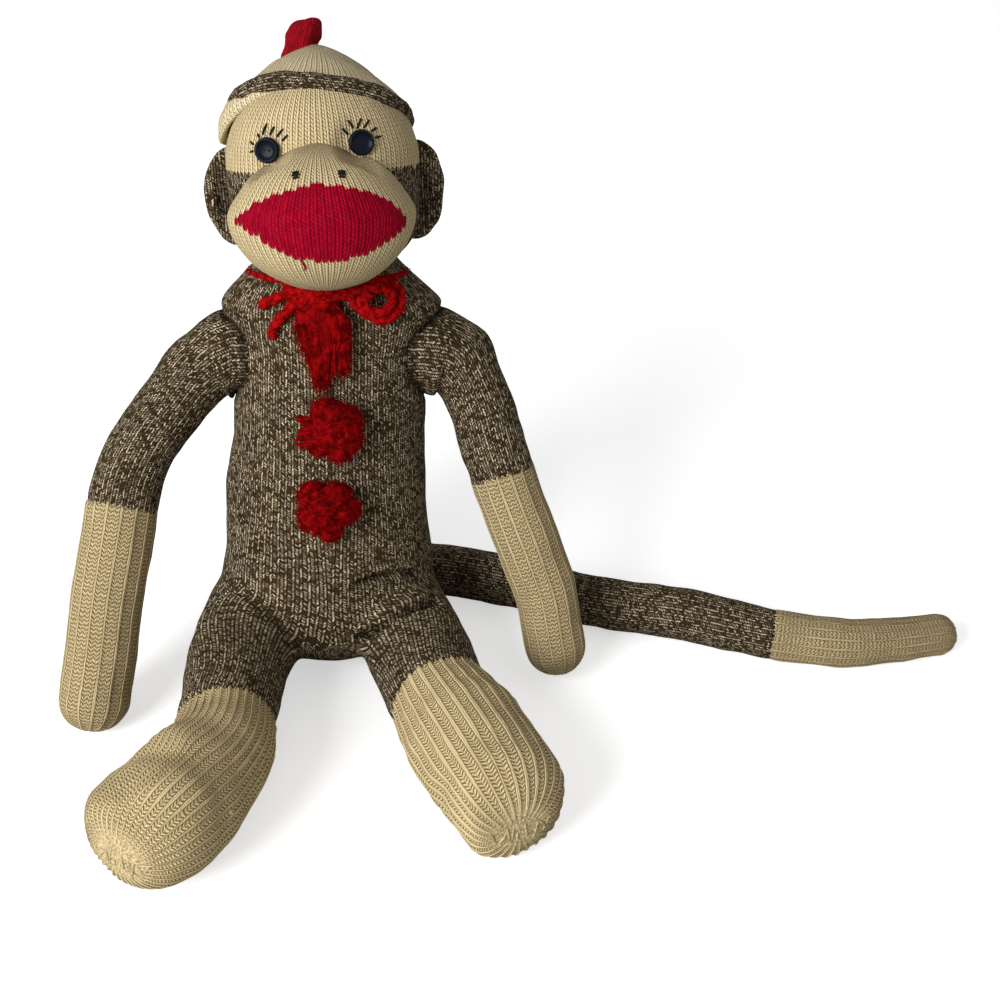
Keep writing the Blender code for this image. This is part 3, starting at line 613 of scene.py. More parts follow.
# creases at the left hip, with painted shade along them, and faint ones at the right hip and the waist: width, depth
# and line, in mm
folds = (
    (2.7, 3.8, ((12, -36, 64), (15.8, -34.5, 65.1), (23.2, -31.8, 66.8), (29.7, -29.1, 66.6), (36.7, -26, 65.4),
                (43.8, -20.3, 60.5))),
    (3.2, 6.4, ((15.4, -40, 35.2), (21.6, -45.1, 44.4), (27.6, -46.5, 49.8), (36.6, -43.1, 54.7),
                (45.6, -39.2, 55.3), (53.8, -31.6, 53.1))),
    (4.5, 1.4, ((-18, -44, 44), (-30, -40, 54), (-46, -26, 60))),
    (4.5, 0.9, ((-47, -8, 96), (-36, -22, 90), (-22, -30, 88))),
    (5.0, 0.9, ((47, -6, 104), (34, -22, 97), (20, -30, 92))),
)
sharp = [Vector(row) * mm for _, _, line in folds[:2] for row in line]
near = [edge for edge in body_skin.edges if min((edge.verts[0].co - spot).length for spot in sharp) < 0.009]
bmesh.ops.subdivide_edges(body_skin, edges=near, cuts=1, use_grid_fill=True)
for width, depth, line in folds:
    crease(body_skin, [Vector(row) * mm for row in line], width * mm, depth * mm)
# the sewn roots of the arms draw the skin into a groove, with painted shade along it
shoulder_out = 0.047
shoulder_height = 0.127
groove_radius = 0.0220
groove_width = 0.0024
fold = body_skin.verts.layers.float["fold"]
for way in (-1, 1):
    shoulder = torso_place @ Vector((way * shoulder_out, 0, shoulder_height))
    for vert in body_skin.verts:
        away = vert.co - shoulder
        if away.x * way > -0.008:
            groove = fading(((hypot(away.y, away.z) - groove_radius) / groove_width) ** 2)
            vert.co.x -= way * 0.0012 * groove
            # painted shade along the groove
            vert[fold] = max(vert[fold], 0.9 * groove)
rest_on_floor(body_skin)

crotch = Vector((0, -0.052, 0.020))
width_rows = [(line[0], line[1]) for line in torso_rows]
depth_rows = [(line[0], line[2]) for line in torso_rows]
neck_height = 0.168


def body_stitches(place, way):
    """Wales and courses of the body's knit at a place, which pass smoothly from the belly onto a leg."""
    own = into_torso @ place
    angle = atan2(max(own.x * way, 0) / read_rows(width_rows, own.z / mm),
                  -own.y / read_rows(depth_rows, own.z / mm)) / (2 * pi)
    leg = legs["left" if way > 0 else "right"]
    axis = (leg["points"][60] - leg["hip"]).normalized()
    from_hip = place - leg["hip"]
    along = from_hip.dot(axis)
    out = Vector((way, 0, 0))
    out = (out - axis * out.dot(axis)).normalized()
    rise = axis.cross(out) * way
    rise = -rise if rise.z < 0 else rise
    turn = (atan2(from_hip.dot(out), from_hip.dot(rise)) / (2 * pi) + 0.25) % 1
    share = ease_in((along - 0.004) / 0.070)
    return angle * body_wales, turn, share, neck_height - own.z, own.z + along


bmesh.ops.bisect_plane(body_skin, geom=body_skin.verts[:] + body_skin.edges[:] + body_skin.faces[:], dist=1e-7,
                       plane_co=(0, 0, 0), plane_no=(1, 0, 0))
while body_skin.loops.layers.uv:
    body_skin.loops.layers.uv.remove(body_skin.loops.layers.uv[0])
knit_map = body_skin.loops.layers.uv.new("knit")
for face in body_skin.faces:
    way = 1 if face.calc_center_median().x > 0 else -1
    spots = [body_stitches(loop.vert.co, way) for loop in face.loops]
    wraps = max(spot[1] for spot in spots) - min(spot[1] for spot in spots) > 0.5
    for loop, (belly, turn, share, down, onward) in zip(face.loops, spots):
        turn += 1 if wraps and turn < 0.5 else 0
        u = belly + (turn * leg_wales - belly) * share
        loop[knit_map].uv = (u * way, (down + onward * share) / course)
body_skin.normal_update()
shading = body_skin.verts.layers.float_vector.new("shading")
for vert in body_skin.verts:
    vert[shading] = vert.normal


def keep_shading(piece):
    """Shade a cut piece as it was before the cut, so that no edge shows where pieces meet."""
    normals = [Vector(item.vector) for item in piece.data.attributes["shading"].data]
    normals = [normal.normalized() if normal.length > 0.1 else up for normal in normals]
    piece.data.normals_split_custom_set_from_vertices(normals)
    piece.data.attributes.remove(piece.data.attributes["shading"])


def slice_skin(shape, place, facing, keep_front):
    """Cut a skin by a plane and keep what lies in front of it or behind it."""
    bmesh.ops.bisect_plane(shape, geom=shape.verts[:] + shape.edges[:] + shape.faces[:], dist=1e-7, plane_co=place,
                           plane_no=facing, clear_inner=keep_front, clear_outer=not keep_front)


halves = bmesh.new()
for side, way in (("right", -1), ("left", 1)):
    slope = Vector((way * 0.35, -0.8, -0.5)).normalized()
    part = body_skin.copy()
    slice_skin(part, crotch, slope, True)
    slice_skin(part, (0, 0, 0), (way, 0, 0), True)
    bmesh.ops.holes_fill(part, edges=[edge for edge in part.edges if edge.is_boundary], sides=0)
    leg_skin = dress(part, side + "_leg_skin", heather, (side + "_thigh",), None)
    keep_shading(leg_skin)
    start = crotch + slope * 0.001
    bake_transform(leg_skin, "torso", side + "_leg", start=tuple(start), end=tuple(start + slope * 0.036))
    part = body_skin.copy()
    slice_skin(part, crotch, slope, False)
    slice_skin(part, (0, 0, 0), (way, 0, 0), True)
    add_shape(halves, part)
body_skin.free()
bmesh.ops.remove_doubles(halves, verts=halves.verts, dist=1e-5)
bmesh.ops.holes_fill(halves, edges=[edge for edge in halves.edges if edge.is_boundary], sides=0)
chest_tree = BVHTree.FromBMesh(halves)
torso_skin = dress(halves, "torso_skin", heather, ("torso", "neck"), "torso")
keep_shading(torso_skin)


# Feet: the ribbed cream cuff end of the same sock, stuffed fuller than the leg and closed at
# the toes with a few rough stitches.
def rib_knit(name, ridge, band_wales, pale):
    """Ribbed wool: a thin raised wale, then a sunken band of slanted loops with holes between. Painted shade darkens
    the holes and the low parts of the band and of the closing.
    """
    pattern = Pattern(name)
    u, v = pattern.knit_place()
    v = v + (pattern.clouds(1, 2, u * 3, v * 0.6, 4) - 0.5) * 1.1
    u = u + (pattern.clouds(1, 1, u * 2, v * 0.5, 6) - 0.5) * 0.10
    share = u - u.floor()
    in_band = (share - ridge) * (band_wales / (1 - ridge))
    fold = abs(in_band - in_band.floor() - 0.5)
    loops = v * 0.95 + fold * 1.5
    across = abs(fold * 4 - 1)
    hole = loops.zigzag().steps(0.35, 0.85) * (1 - across.steps(0.62, 1.0))
    rim = share.steps(0.93, 1.0).at_least(1 - share.steps(ridge, ridge + 0.07))
    band = 0.92 - hole * 0.92 - across.steps(0.72, 1.0) * 0.45 - rim * 0.45
    on_ridge = 1 - share.steps(ridge - 0.04, ridge)
    ridge_fold = abs(share * (1 / ridge) - 0.5)
    risen = v * 0.95 + ridge_fold * 0.8
    cord = (ridge_fold * 4 - 1).dome() * (1 - risen.zigzag() ** 4 * 0.3)
    ribbed = on_ridge * (cord * 0.55 + 0.5) + (1 - on_ridge) * band
    closing = pattern.mark("closing")
    rough = pattern.clouds(900, 3).steps(0.32, 0.62) * 0.5 + 0.28
    height = (1 - closing) * ribbed + closing * rough
    bright = pattern.mix(pattern.clouds(60, 3), tint(pale, 0.84), tint(pale, 1.05))
    # painted shade in the holes and the low parts of the knit
    colour = pattern.mix(height.steps(0.0, 0.80), tint(pale, 0.34, 0.28, 0.20), bright)
    return pattern.finish(colour, height, 0.0007)


def raise_ribs(shape, count, ridge, depth, fade):
    """Push the thin wale of each rib out of the band between ribs, less and less towards the closed end."""
    closed = 0.004
    closing = shape.verts.layers.float.new("closing")
    corner_of = shape.verts.layers.float["corner"]
    reach_of = shape.verts.layers.float["reach"]
    sides = max(vert[corner_of] for vert in shape.verts) + 1
    end = max(vert[reach_of] for vert in shape.verts)
    shape.normal_update()
    for vert in shape.verts:
        if vert[corner_of] >= 0:
            nearness = abs(vert[corner_of] / sides * count % 1 - ridge / 2)
            nearness = min(nearness, 1 - nearness) / ridge
            push = fading(3 * nearness ** 2) - 0.4
            vert.co += vert.normal * depth * push * min(max((end - vert[reach_of]) / fade, 0), 1)
        vert[closing] = ease_in((vert[reach_of] - end + closed + fade) / fade)


def sew_teeth(shape, size):
    """Step the first ring of a tube from stitch to stitch, as the colours of a knit meet."""
    tooth = 4
    corner_of = shape.verts.layers.float["corner"]
    reach_of = shape.verts.layers.float["reach"]
    reaches = sorted({round(vert[reach_of], 7) for vert in shape.verts if vert[corner_of] >= 0})
    at, inward = reaches[:2]
    inner = {vert[corner_of]: vert.co for vert in shape.verts if abs(vert[reach_of] - inward) < 1e-6}
    for vert in shape.verts:
        if vert[corner_of] >= 0 and abs(vert[reach_of] - at) < 1e-6:
            away = (vert.co - inner[vert[corner_of]]).normalized()
            vert.co += away * size * (1 if vert[corner_of] % tooth < tooth / 2 else -1)


def spun(lines, radius, rounding=0):
    """Lengths of yarn or thread through lines of points, thinner at their ends, as one mesh."""
    curve = bpy.data.curves.new("strands", "CURVE")
    curve.dimensions = "3D"
    curve.bevel_depth = radius
    curve.bevel_resolution = rounding
    curve.use_fill_caps = True
    for line in lines:
        strand = curve.splines.new("POLY")
        strand.points.add(len(line) - 1)
        for point, place in zip(strand.points, line):
            point.co = (*place, 1)
        strand.points[0].radius = strand.points[-1].radius = 0.6
    holder = bpy.data.objects.new("strands", curve)
    scene_things.link(holder)
    shape = final_shape(holder)
    bmesh.ops.recalc_face_normals(shape, faces=shape.faces)
    bpy.data.curves.remove(curve)
    return shape


def plain_wool(name, deep, bright, scale, depth):
    """Fluffy wool yarn without a counted knit."""
    pattern = Pattern(name)
    fibre = pattern.clouds(scale, 4)
    return pattern.finish(pattern.mix(fibre.steps(0.32, 0.68), deep, bright), fibre, depth)


sewing_wool = plain_wool("cream_sewing_wool", (0.34, 0.26, 0.14), (0.62, 0.51, 0.30), 900, 0.0005)
foot_ribs = rib_knit("ribbed_cream_foot", 0.30, 1, (0.67, 0.54, 0.30))
cuff_overlap = 0.001
# side, ribs round the foot, corners for each rib, roundness of the toes, and where, which way, how
# widely and how deep the stuffing gives way
foot_shapes = (
    ("right", 38, 6, 0.88, (-0.0850, -0.1455, 0.0568), level - upward, 0.0225, 0.0088),
    ("left", 28, 8, 0.74, (0.0537, -0.1573, 0.0247), level + upward * 0.5, 0.018, 0.0048),
)
for side, ribs, corners, bulge, hollow, heading, reach, depth in foot_shapes:
    leg = legs[side]
    start = leg["cuff"] - cuff_overlap / leg["length"]
    rings = limb_rings(leg["points"], leg["length"], leg["sizes"], start, 1, 44, up)
    toe = rings[-1]
    radius = leg["foot_radius"]
    for number in range(1, 15):
        turn = number / 14.4 * pi / 2
        flatten = Matrix.Diagonal((max(cos(turn), 0) ** 0.52, cos(turn) ** 0.66, 1, 1))
        sink = 0.20 * (1 - cos(turn))
        rings.append(toe @ Matrix.Translation((0, sink, radius * bulge * sin(turn))) @ flatten)
    foot = knit_tube(rings, ribs * corners, ribs, course)
    raise_ribs(foot, ribs, 0.30, 0.0009, 0.012)
    sew_teeth(foot, 0.0008)
    lumps(foot, 0.024, 0.0013, 3 if side == "right" else 5)
    press(foot, Vector(hollow), heading.normalized(), reach, depth)
    rest_on_floor(foot)
    foot_tree = BVHTree.FromBMesh(foot)
    foot_skin = dress(foot, side + "_foot_skin", foot_ribs, (side + "_foot",), side + "_leg")
    lines = []
    for number in range(9):
        across = -0.46 + 0.92 * number / 8 + 0.05 * sin(number * 5.1)
        low = 0.24 - 0.12 * across * across + 0.05 * sin(number * 3.7)
        lean = 0.09 * sin(number * 2.9 + 1)
        long = 0.15 + 0.07 * sin(number * 4.3)
        line = []
        for step in range(7):
            share = step / 6 - 0.5
            start = toe @ Vector((across + lean * share * 2, low + long * share * 2, radius * 2))
            place, facing, _, _ = foot_tree.ray_cast(start, toe.to_3x3() @ Vector((0, 0, -1)))
            line.append(place + facing * (0.0001 if 0 < step < 6 else -0.0009))
        lines.append(line)
    sewing = spun(lines, 0.0006, 1)
    if side == "right":
        knot, _, _, _ = foot_tree.find_nearest(Vector((-0.0406, -0.1613, 0.0358)))
        bmesh.ops.create_icosphere(sewing, subdivisions=2, radius=0.0013, matrix=Matrix.Translation(knot))
    dress(sewing, side + "_toe_stitches", sewing_wool, (), side + "_leg")

# Arms: tubes of the same heather knit, flattened where they are sewn to the body's sides, each
# ending in a ribbed cream hand.
hand_radius = 0.017
hand_length = 0.112
# the arm's radius at shares of its length, and its route as shares of the way out, forward and down
arm_sizes = {
    "right": ((0, 0.0212), (0.028, 0.0219), (0.085, 0.0182), (0.20, 0.0167), (0.33, 0.0168), (0.50, 0.0174),
              (1, 0.0171)),
    "left": ((0, 0.0217), (0.028, 0.0223), (0.085, 0.0196), (0.20, 0.0168), (0.45, 0.0163), (0.75, 0.0160),
             (1, 0.0154)),
}
arm_routes = {
    "right": ((0, 0, 0), (0.25, 0.03, 0.066), (0.50, 0.15, 0.181), (0.69, 0.275, 0.285), (0.805, 0.38, 0.39),
              (0.87, 0.53, 0.53), (0.945, 0.71, 0.71), (0.995, 0.88, 0.87), (1.045, 1, 1)),
    "left": ((0, 0, 0), (0.24, 0.03, 0.028), (0.42, 0.17, 0.170), (0.52, 0.31, 0.31), (0.615, 0.43, 0.44),
             (0.72, 0.56, 0.56), (0.835, 0.69, 0.69), (0.935, 0.82, 0.82), (1.01, 0.99, 0.99)),
}
hand_ribs = rib_knit("ribbed_cream_hand", 0.20, 2, (0.60, 0.48, 0.27))
hand_rib_count = 15
seen_side = Vector((0, -1, 0.6)).normalized()
for side, way, out, forward, deeper in (("right", -1, 0.0664, 0.100, 0.0005), ("left", 1, 0.0676, 0.065, -0.0010)):
    shoulder = torso_place @ Vector((way * shoulder_out, 0, shoulder_height))
    drop = shoulder.z - hand_radius + deeper
    line = [shoulder + Vector((way * out * x, -forward * y, -drop * z)) for x, y, z in arm_routes[side]]
    points, length = smooth_route(line, 161)
    cuff = 1 - (hand_length - hand_radius) / length
    rings = limb_rings(points, length, arm_sizes[side], 0, cuff, 56, seen_side, first_heading=Vector((way, 0, 0)))
    root = [Matrix.Translation((-way * deep * mm, 0, 0)) @ rings[0] for deep in (14, 10, 6, 3)]
    arm = knit_tube(root + rings, 124, 37, course)
    lumps(arm, 0.020, 0.0012, 7)
    # painted shade on the arm where it meets the chest, held in its fold layer
    fold = arm.verts.layers.float.new("fold")
    for vert in arm.verts:
        vert[fold] = fading((chest_tree.find_nearest(vert.co)[3] / 0.0026) ** 2)
    arm_skin = dress(arm, side + "_arm_skin", heather, (side + "_arm",), side + "_arm")
    rings = limb_rings(points, length, arm_sizes[side], cuff - cuff_overlap / length, 1, 52, seen_side,
                       round_end=hand_radius * 0.92)
    hand = knit_tube(rings, hand_rib_count * 10, hand_rib_count, course)
    raise_ribs(hand, hand_rib_count, 0.20, 0.0009, 0.010)
    sew_teeth(hand, 0.0007)
    lumps(hand, 0.02, 0.0007, 9)
    rest_on_floor(hand)
    hand_skin = dress(hand, side + "_hand_skin", hand_ribs, (side + "_hand",), side + "_arm")

# Tail: a thin stuffed tube from the second sock, sewn under the back of the seat. It lies on
# the floor, sweeps past the left hand and ends in a ribbed cream cuff.
tail_radius = 0.0140
tail_reach = 0.324
tail_bow = 0.058
tail_cuff = 0.73
tail_sizes = ((0, 0.0140), (0.6, 0.0140), (0.8, 0.0129), (1, 0.0109))
tail_rows = ((0, 0), (0.085, -0.17), (0.184, -0.17), (0.307, 0.05), (0.436, 0.345), (0.586, 0.57),
             (0.721, 0.845), (0.856, 0.97), (1, 0.83))
line = [Vector((tail_reach * reach, 0.037 - tail_bow * bow, read_rows(tail_sizes, reach) - floor_sink))
        for reach, bow in tail_rows]
points, length = smooth_route(line, 161)
rings = limb_rings(points, length, tail_sizes, 0, tail_cuff, 90, up, round_start=tail_radius)
tail = knit_tube(rings, 92, 27, course)
lumps(tail, 0.016, 0.0009, 11)
rest_on_floor(tail)
tail_skin = dress(tail, "tail_skin", heather, ("tail",), "tail")
rings = limb_rings(points, length, tail_sizes, tail_cuff, 1, 50, up, round_end=0.011)
tail_rib_count = 16
tip = knit_tube(rings, tail_rib_count * 9, tail_rib_count, course)
raise_ribs(tip, tail_rib_count, 0.22, 0.0007, 0.008)
sew_teeth(tip, 0.0006)
lumps(tip, 0.016, 0.0007, 12)
rest_on_floor(tip)
tail_tip = dress(tip, "tail_end_skin", hand_ribs, ("tail_end",), "tail")


# Head: a ball of the same tube, stuffed hard. Its top and forehead are cream, and below the
# eyes the knit changes to heather, which shows at the cheeks and at the back.
def cream_colour(pattern, knit, pale=(0.66, 0.53, 0.305)):
    """Plain cream wool, a little uneven, with painted shade in the hollows between its stitches."""
    uneven = pattern.chance(knit["leg"], knit["row"], 7) * 0.45 + pattern.clouds(38, 3) * 0.55
    bright = pattern.mix(uneven, tint(pale, 0.86), tint(pale, 1.14))
    # painted shade where the stitches are low
    return pattern.mix(knit["height"].steps(0.20, 1.0), tint(pale, 0.26, 0.20, 0.13), bright)


def oval(axes, place, half_width, half_depth):
    """One ring of a tube: an oval at a place in the given axes."""
    return axes @ Matrix.Translation(place) @ Matrix.Diagonal((half_width, half_depth, 1, 1))


neck_point = torso_place @ Vector((0, 0, 0.180))
head_place = (Matrix.Translation(neck_point) @ Matrix.Rotation(-torso_lean, 4, "X")
              @ Matrix.Rotation(radians(-2.5), 4, "Y"))
head_rows = (
    (-8.0, 29.8, 28.2, 0), (-5.1, 35.8, 33.9, 0), (-0.1, 40.5, 38.3, 0), (7.6, 44.2, 41.8, 0),
    (18.5, 46.0, 43.6, 0), (31.2, 46.5, 44.0, 0), (44.9, 46.3, 44.0, 0), (54.7, 43.7, 42.0, 1.3),
    (62.6, 40.0, 39.2, 2.6), (69.4, 34.9, 35.6, 3.1), (75.2, 29.3, 31.7, 2.6), (80.1, 23.3, 27.3, 1.3),
    (84.4, 16.3, 19.8, 0), (87.2, 7.0, 8.4, 0),
)
face_course = 0.0019
head_wales = 94
rings = [oval(head_place, (0, -bulge * mm, height * mm), half_width * mm, half_depth * mm)
         for height, half_width, half_depth, bulge in smooth_rows(head_rows, 90)]
head = knit_tube(rings, 188, head_wales, face_course)
lumps(head, 0.02, 0.0006, 13)
change_height = 37
reach_of = head.verts.layers.float["reach"]
into_head = head_place.inverted()
change_row = min((abs((into_head @ vert.co).z - change_height * mm), vert[reach_of]) for vert in head.verts
                 if vert.co.y < neck_point.y)[1] / face_course
pattern = Pattern("head_knit_cream_to_heather")
knit = stocking_stitch(pattern, -1.5, 0.07)
wander = (pattern.clouds(1, 1, knit["column"] * 0.3, 0, 2) - 0.5) * 3
above = knit["row"] + (wander + 0.4) > change_row
head_colour = pattern.mix(above, heather_colour(pattern, knit), cream_colour(pattern, knit))
head_knit = pattern.finish(head_colour, knit["height"], 0.0008)

# Muzzle: the heel of the sock, stuffed and sewn over the lower face. Its red patch makes the
# lips, and its edge steps from stitch to stitch.
muzzle_wales = 74
muzzle_middle = Vector((0, -0.040, 0.0185))
muzzle_half = Vector((0.0435, 0.038, 0.0365))
rings = []
for number in range(90):
    turn = -pi / 2 + pi * (number + 0.5) / 90
    rise = sin(turn)
    flat = abs(cos(turn)) ** (0.92 + 0.62 * max(rise, 0) ** 1.5)
    narrow = 1 - 0.08 * ease_in(max(rise, 0) / 0.45) - 0.07 * ease_in(max(-rise, 0) / 0.9)
    tall = muzzle_half.z * (0.92 if rise > 0 else 0.94)
    rings.append(oval(head_place, muzzle_middle + Vector((0, 0, tall * rise)),
                      muzzle_half.x * flat * narrow, muzzle_half.y * flat))
muzzle = knit_tube(rings, 222, muzzle_wales, face_course)
muzzle_length = max(vert[muzzle.verts.layers.float["reach"]] for vert in muzzle.verts) / face_course
lumps(muzzle, 0.022, 0.0006, 17)
# the lips' edges, as wales round and courses up the muzzle
lips_upper = ((23.6, 30.4), (25.67, 32.6), (27.33, 34.9), (32.0, 38.2), (37.2, 40.2), (41.33, 38.6), (44.67, 36.9),
              (48.0, 33.7), (48.9, 31.4), (50.4, 28.7))
lips_lower = ((23.6, 30.4), (26.0, 28.7), (28.67, 27.2), (30.0, 24.5), (33.0, 21.9), (36.67, 20.6), (39.67, 20.5),
              (44.0, 21.8), (47.0, 24.9), (48.67, 26.9), (50.4, 28.7))
pattern = Pattern("muzzle_knit_with_lips")
knit = stocking_stitch(pattern, -1.5, 0.05)
around = (knit["column"] + 0.5) * (1 / muzzle_wales)
row = (knit["lifted"] - knit["across"] * knit["across"] * 0.9 + 0.45).floor()
rise = (row + 0.875) * (1 / muzzle_length)
edges = []
for line in (lips_upper, lips_lower):
    curve = pattern.node("ShaderNodeFloatCurve")
    pattern.feed(curve.inputs["Value"], around)
    edge = curve.mapping.curves[0]
    line = [(wale / muzzle_wales, course_up / muzzle_length) for wale, course_up in line]
    for spot, place in zip(edge.points, (line[0], line[-1])):
        spot.location = place
    for place in line[1:-1]:
        edge.points.new(*place)
    for spot in edge.points:
        spot.handle_type = "VECTOR"
    curve.mapping.extend = "HORIZONTAL"
    curve.mapping.update()
    edges.append(pattern.read(curve))
in_mouth = (around > lips_upper[0][0] / muzzle_wales) * (around < lips_upper[-1][0] / muzzle_wales)
red_part = (rise < edges[0]) * (rise > edges[1]) * in_mouth
lip_red = pattern.mix(pattern.chance(knit["leg"], knit["row"], 12), (0.26, 0.001, 0.013), (0.36, 0.003, 0.020))
# painted shade in the hollows between the red stitches
lip_red = pattern.mix(knit["height"].steps(0.02, 0.7), (0.11, 0.0005, 0.005), lip_red)
muzzle_knit = pattern.finish(pattern.mix(red_part, cream_colour(pattern, knit), lip_red), knit["height"], 0.0008)


def face_point(out, rise):
    """The foremost place of the face at a place seen from the front of the head, and the way it faces."""
    start = head_place @ Vector((out, -0.2, rise))
    heading = head_place.to_3x3() @ Vector((0, 1, 0))
    found = []
    for tree in face_trees:
        place, facing, _, away = tree.ray_cast(start, heading)
        if place:
            found.append((away, place, facing))
    _, place, facing = min(found, key=lambda hit: hit[0])
    return place, facing


# The eyes are sewn on tightly, so the stuffed face is pressed in behind them.
eye_places = {"right": (-0.024, 0.0485), "left": (0.020, 0.0508)}
seat_radius = 0.016
seat_rim = 0.0095
eye_seats = {}
front = head_place.to_3x3() @ Vector((0, -1, 0))
for side, (out, rise) in eye_places.items():
    face_trees = [BVHTree.FromBMesh(shape) for shape in (head, muzzle)]
    place, facing = face_point(out, rise)
    facing = (facing * 0.7 + front).normalized()
    place = place - facing * 0.0022
    eye_seats[side] = (place, facing)
    for shape in (head, muzzle):
        for vert in shape.verts:
            away = vert.co - place
            height = away.dot(facing)
            radius = (away - facing * height).length
            if radius < seat_radius and abs(height) < 0.02:
                vert.co -= facing * max(height + 0.0002, 0) * ease_in((seat_radius - radius) / seat_rim)
face_trees = [BVHTree.FromBMesh(shape) for shape in (head, muzzle)]
head_skin = dress(head, "head_skin", head_knit, ("head",), "head")
muzzle_skin = dress(muzzle, "muzzle_skin", muzzle_knit, ("muzzle",), "head")

# Ears: flat stuffed half rounds of heather, folded inwards and sewn to the sides of the head.
# They are knitted finer than the body, and a dark crease shows where they are sewn on.
ear_wale = 0.0026
ear_wide = 0.0150
ear_thick = 0.0075
ear_tall = 0.0238
ear_hollow = 0.0125
for side, way in (("right", -1), ("left", 1)):
    ear = bmesh.new()
    bmesh.ops.create_uvsphere(ear, u_segments=64, v_segments=48, radius=1,
                              matrix=Matrix.Rotation(pi / 2, 4, "X"))
    knit_map = ear.loops.layers.uv.new("knit")
    for face in ear.faces:
        for loop in face.loops:
            loop[knit_map].uv = (loop.vert.co.x * 0.0145 / ear_wale, -loop.vert.co.z * 0.0245 / (course * 0.9))
    for vert in ear.verts:
        deep = 0
        if vert.co.y < 0:
            deep = 0.55 * max(1 - ((vert.co.x - way * 0.10) / 0.62) ** 2, 0) * max(1 - (vert.co.z / 0.85) ** 2, 0)
        spread = 1 + 0.10 * max(vert.co.z, 0)
        vert.co = Vector((vert.co.x * ear_wide * spread, vert.co.y * ear_thick + deep * ear_hollow,
                          vert.co.z * ear_tall))
    bmesh.ops.rotate(ear, verts=ear.verts, cent=(0, 0, 0), matrix=Matrix.Rotation(way * radians(-8), 3, "Z"))
    bmesh.ops.transform(ear, verts=ear.verts, matrix=head_place @ Matrix.Translation((way * 0.0433, 0.003, 0.0242)))
    lumps(ear, 0.013, 0.0011, 19)
    seam = [head_place @ Vector((way * out, back, height)) for out, back, height in (
        (0.0425, -0.004, 0.042), (0.0475, -0.005, 0.034), (0.0490, -0.005, 0.022), (0.0475, -0.005, 0.010),
        (0.0430, -0.004, 0.003))]
    crease(ear, seam, 0.0026, 0.0022)
    ear_skin = dress(ear, side + "_ear_skin", heather, (side + "_ear",), "head")

# Cap: cut from the sock's cream toe with its red tip, stuffed lightly. Its heather edge is
# rolled up into a band, and its cream inside shows under the band at the doll's right.
cap_place = (head_place @ Matrix.Translation((0, 0.0065, 0.061)) @ Matrix.Rotation(radians(-22.5), 4, "X")
             @ Matrix.Rotation(radians(5), 4, "Y"))
brim_radius = 0.0414
roll_high = 0.0047
roll_deep = 0.0036
roll_middle = 0.0008
brim = bmesh.new()
corners = []
for number in range(22):
    turn = 2 * pi * number / 22
    corners.append(brim.verts.new((brim_radius + roll_deep * cos(turn), 0, roll_high * sin(turn) + roll_middle)))
edges = [brim.edges.new(pair) for pair in zip(corners, corners[1:] + corners[:1])]
bmesh.ops.spin(brim, geom=corners + edges, axis=(0, 0, 1), cent=(0, 0, 0), steps=180, angle=2 * pi,
               use_merge=True)
bmesh.ops.recalc_face_normals(brim, faces=brim.faces)
knit_map = brim.loops.layers.uv.new("knit")
for face in brim.faces:
    spots = []
    for loop in face.loops:
        place = loop.vert.co
        around = atan2(place.x, place.y) / (2 * pi) + 0.5
        over = atan2((place.z - roll_middle) / roll_high, (hypot(place.x, place.y) - brim_radius) / roll_deep)
        spots.append([around, over / (2 * pi) + 0.5])
    for index in (0, 1):
        if max(spot[index] for spot in spots) - min(spot[index] for spot in spots) > 0.5:
            for spot in spots:
                spot[index] += 1 if spot[index] < 0.5 else 0
    for loop, (around, over) in zip(face.loops, spots):
        loop[knit_map].uv = (over * 11, around * 150)
for vert in brim.verts:
    around = atan2(vert.co.x, vert.co.y)
    vert.co.z += 0.0008 * sin(around * 2 + 0.6) + 0.0005 * sin(around * 5 + 2)
lumps(brim, 0.009, 0.0007, 21)
bmesh.ops.transform(brim, verts=brim.verts, matrix=cap_place)
brim_skin = dress(brim, "cap_band", heather, ("cap_brim",), "head")

crown_rows = ((-1.0, 42.4), (1.0, 43.0), (3.1, 42.2), (6.8, 39.4), (11.6, 34.6), (17.0, 28.7), (22.5, 22.2),
              (27.0, 16.0), (30.3, 10.4), (32.6, 5.6), (33.6, 1.6))
rings = []
for height, half in smooth_rows(crown_rows, 60):
    lean = max(height - 10, 0) / 24 * 3.0
    rings.append(oval(cap_place, (-lean * mm, 0, height * mm), half * mm, half * mm))
crown = knit_tube(rings, 176, 88, course)
lumps(crown, 0.016, 0.0008, 23)
pattern = Pattern("cap_cream_knit")
knit = stocking_stitch(pattern, -1.5, 0.08)
cap_cream = pattern.finish(cream_colour(pattern, knit, (0.66, 0.56, 0.355)), knit["height"], 0.0005)
crown_skin = dress(crown, "cap_crown_skin", cap_cream, ("cap_crown",), "head")

pattern = Pattern("red_cap_tip_knit")
knit = stocking_stitch(pattern, -1.5, 0.08)
tip_red = pattern.mix(pattern.chance(knit["leg"], knit["row"], 5), (0.21, 0.003, 0.008), (0.31, 0.006, 0.014))
# painted shade in the hollows between the red stitches
tip_red = pattern.mix(knit["height"].steps(0.02, 0.7), (0.12, 0.001, 0.003), tip_red)
cap_red = pattern.finish(tip_red, knit["height"], 0.0005)
tip_rows = ((-3.0, 8.0), (0.0, 8.2), (4.0, 7.7), (8.0, 7.9), (12.0, 8.2), (15.5, 7.6), (17.8, 5.6), (18.9, 1.8))
rings = []
for height, half in smooth_rows(tip_rows, 36):
    lean = (height / 18) ** 2 * 4.2
    rings.append(oval(cap_place, (-0.0122 + lean * mm, 0, 0.0285 + height * mm * 0.98), half * mm, half * mm * 0.95))
nub = knit_tube(rings, 60, 18, course)
lumps(nub, 0.008, 0.0012, 25)
nub_skin = dress(nub, "cap_tip_skin", cap_red, ("cap_tip",), "head")

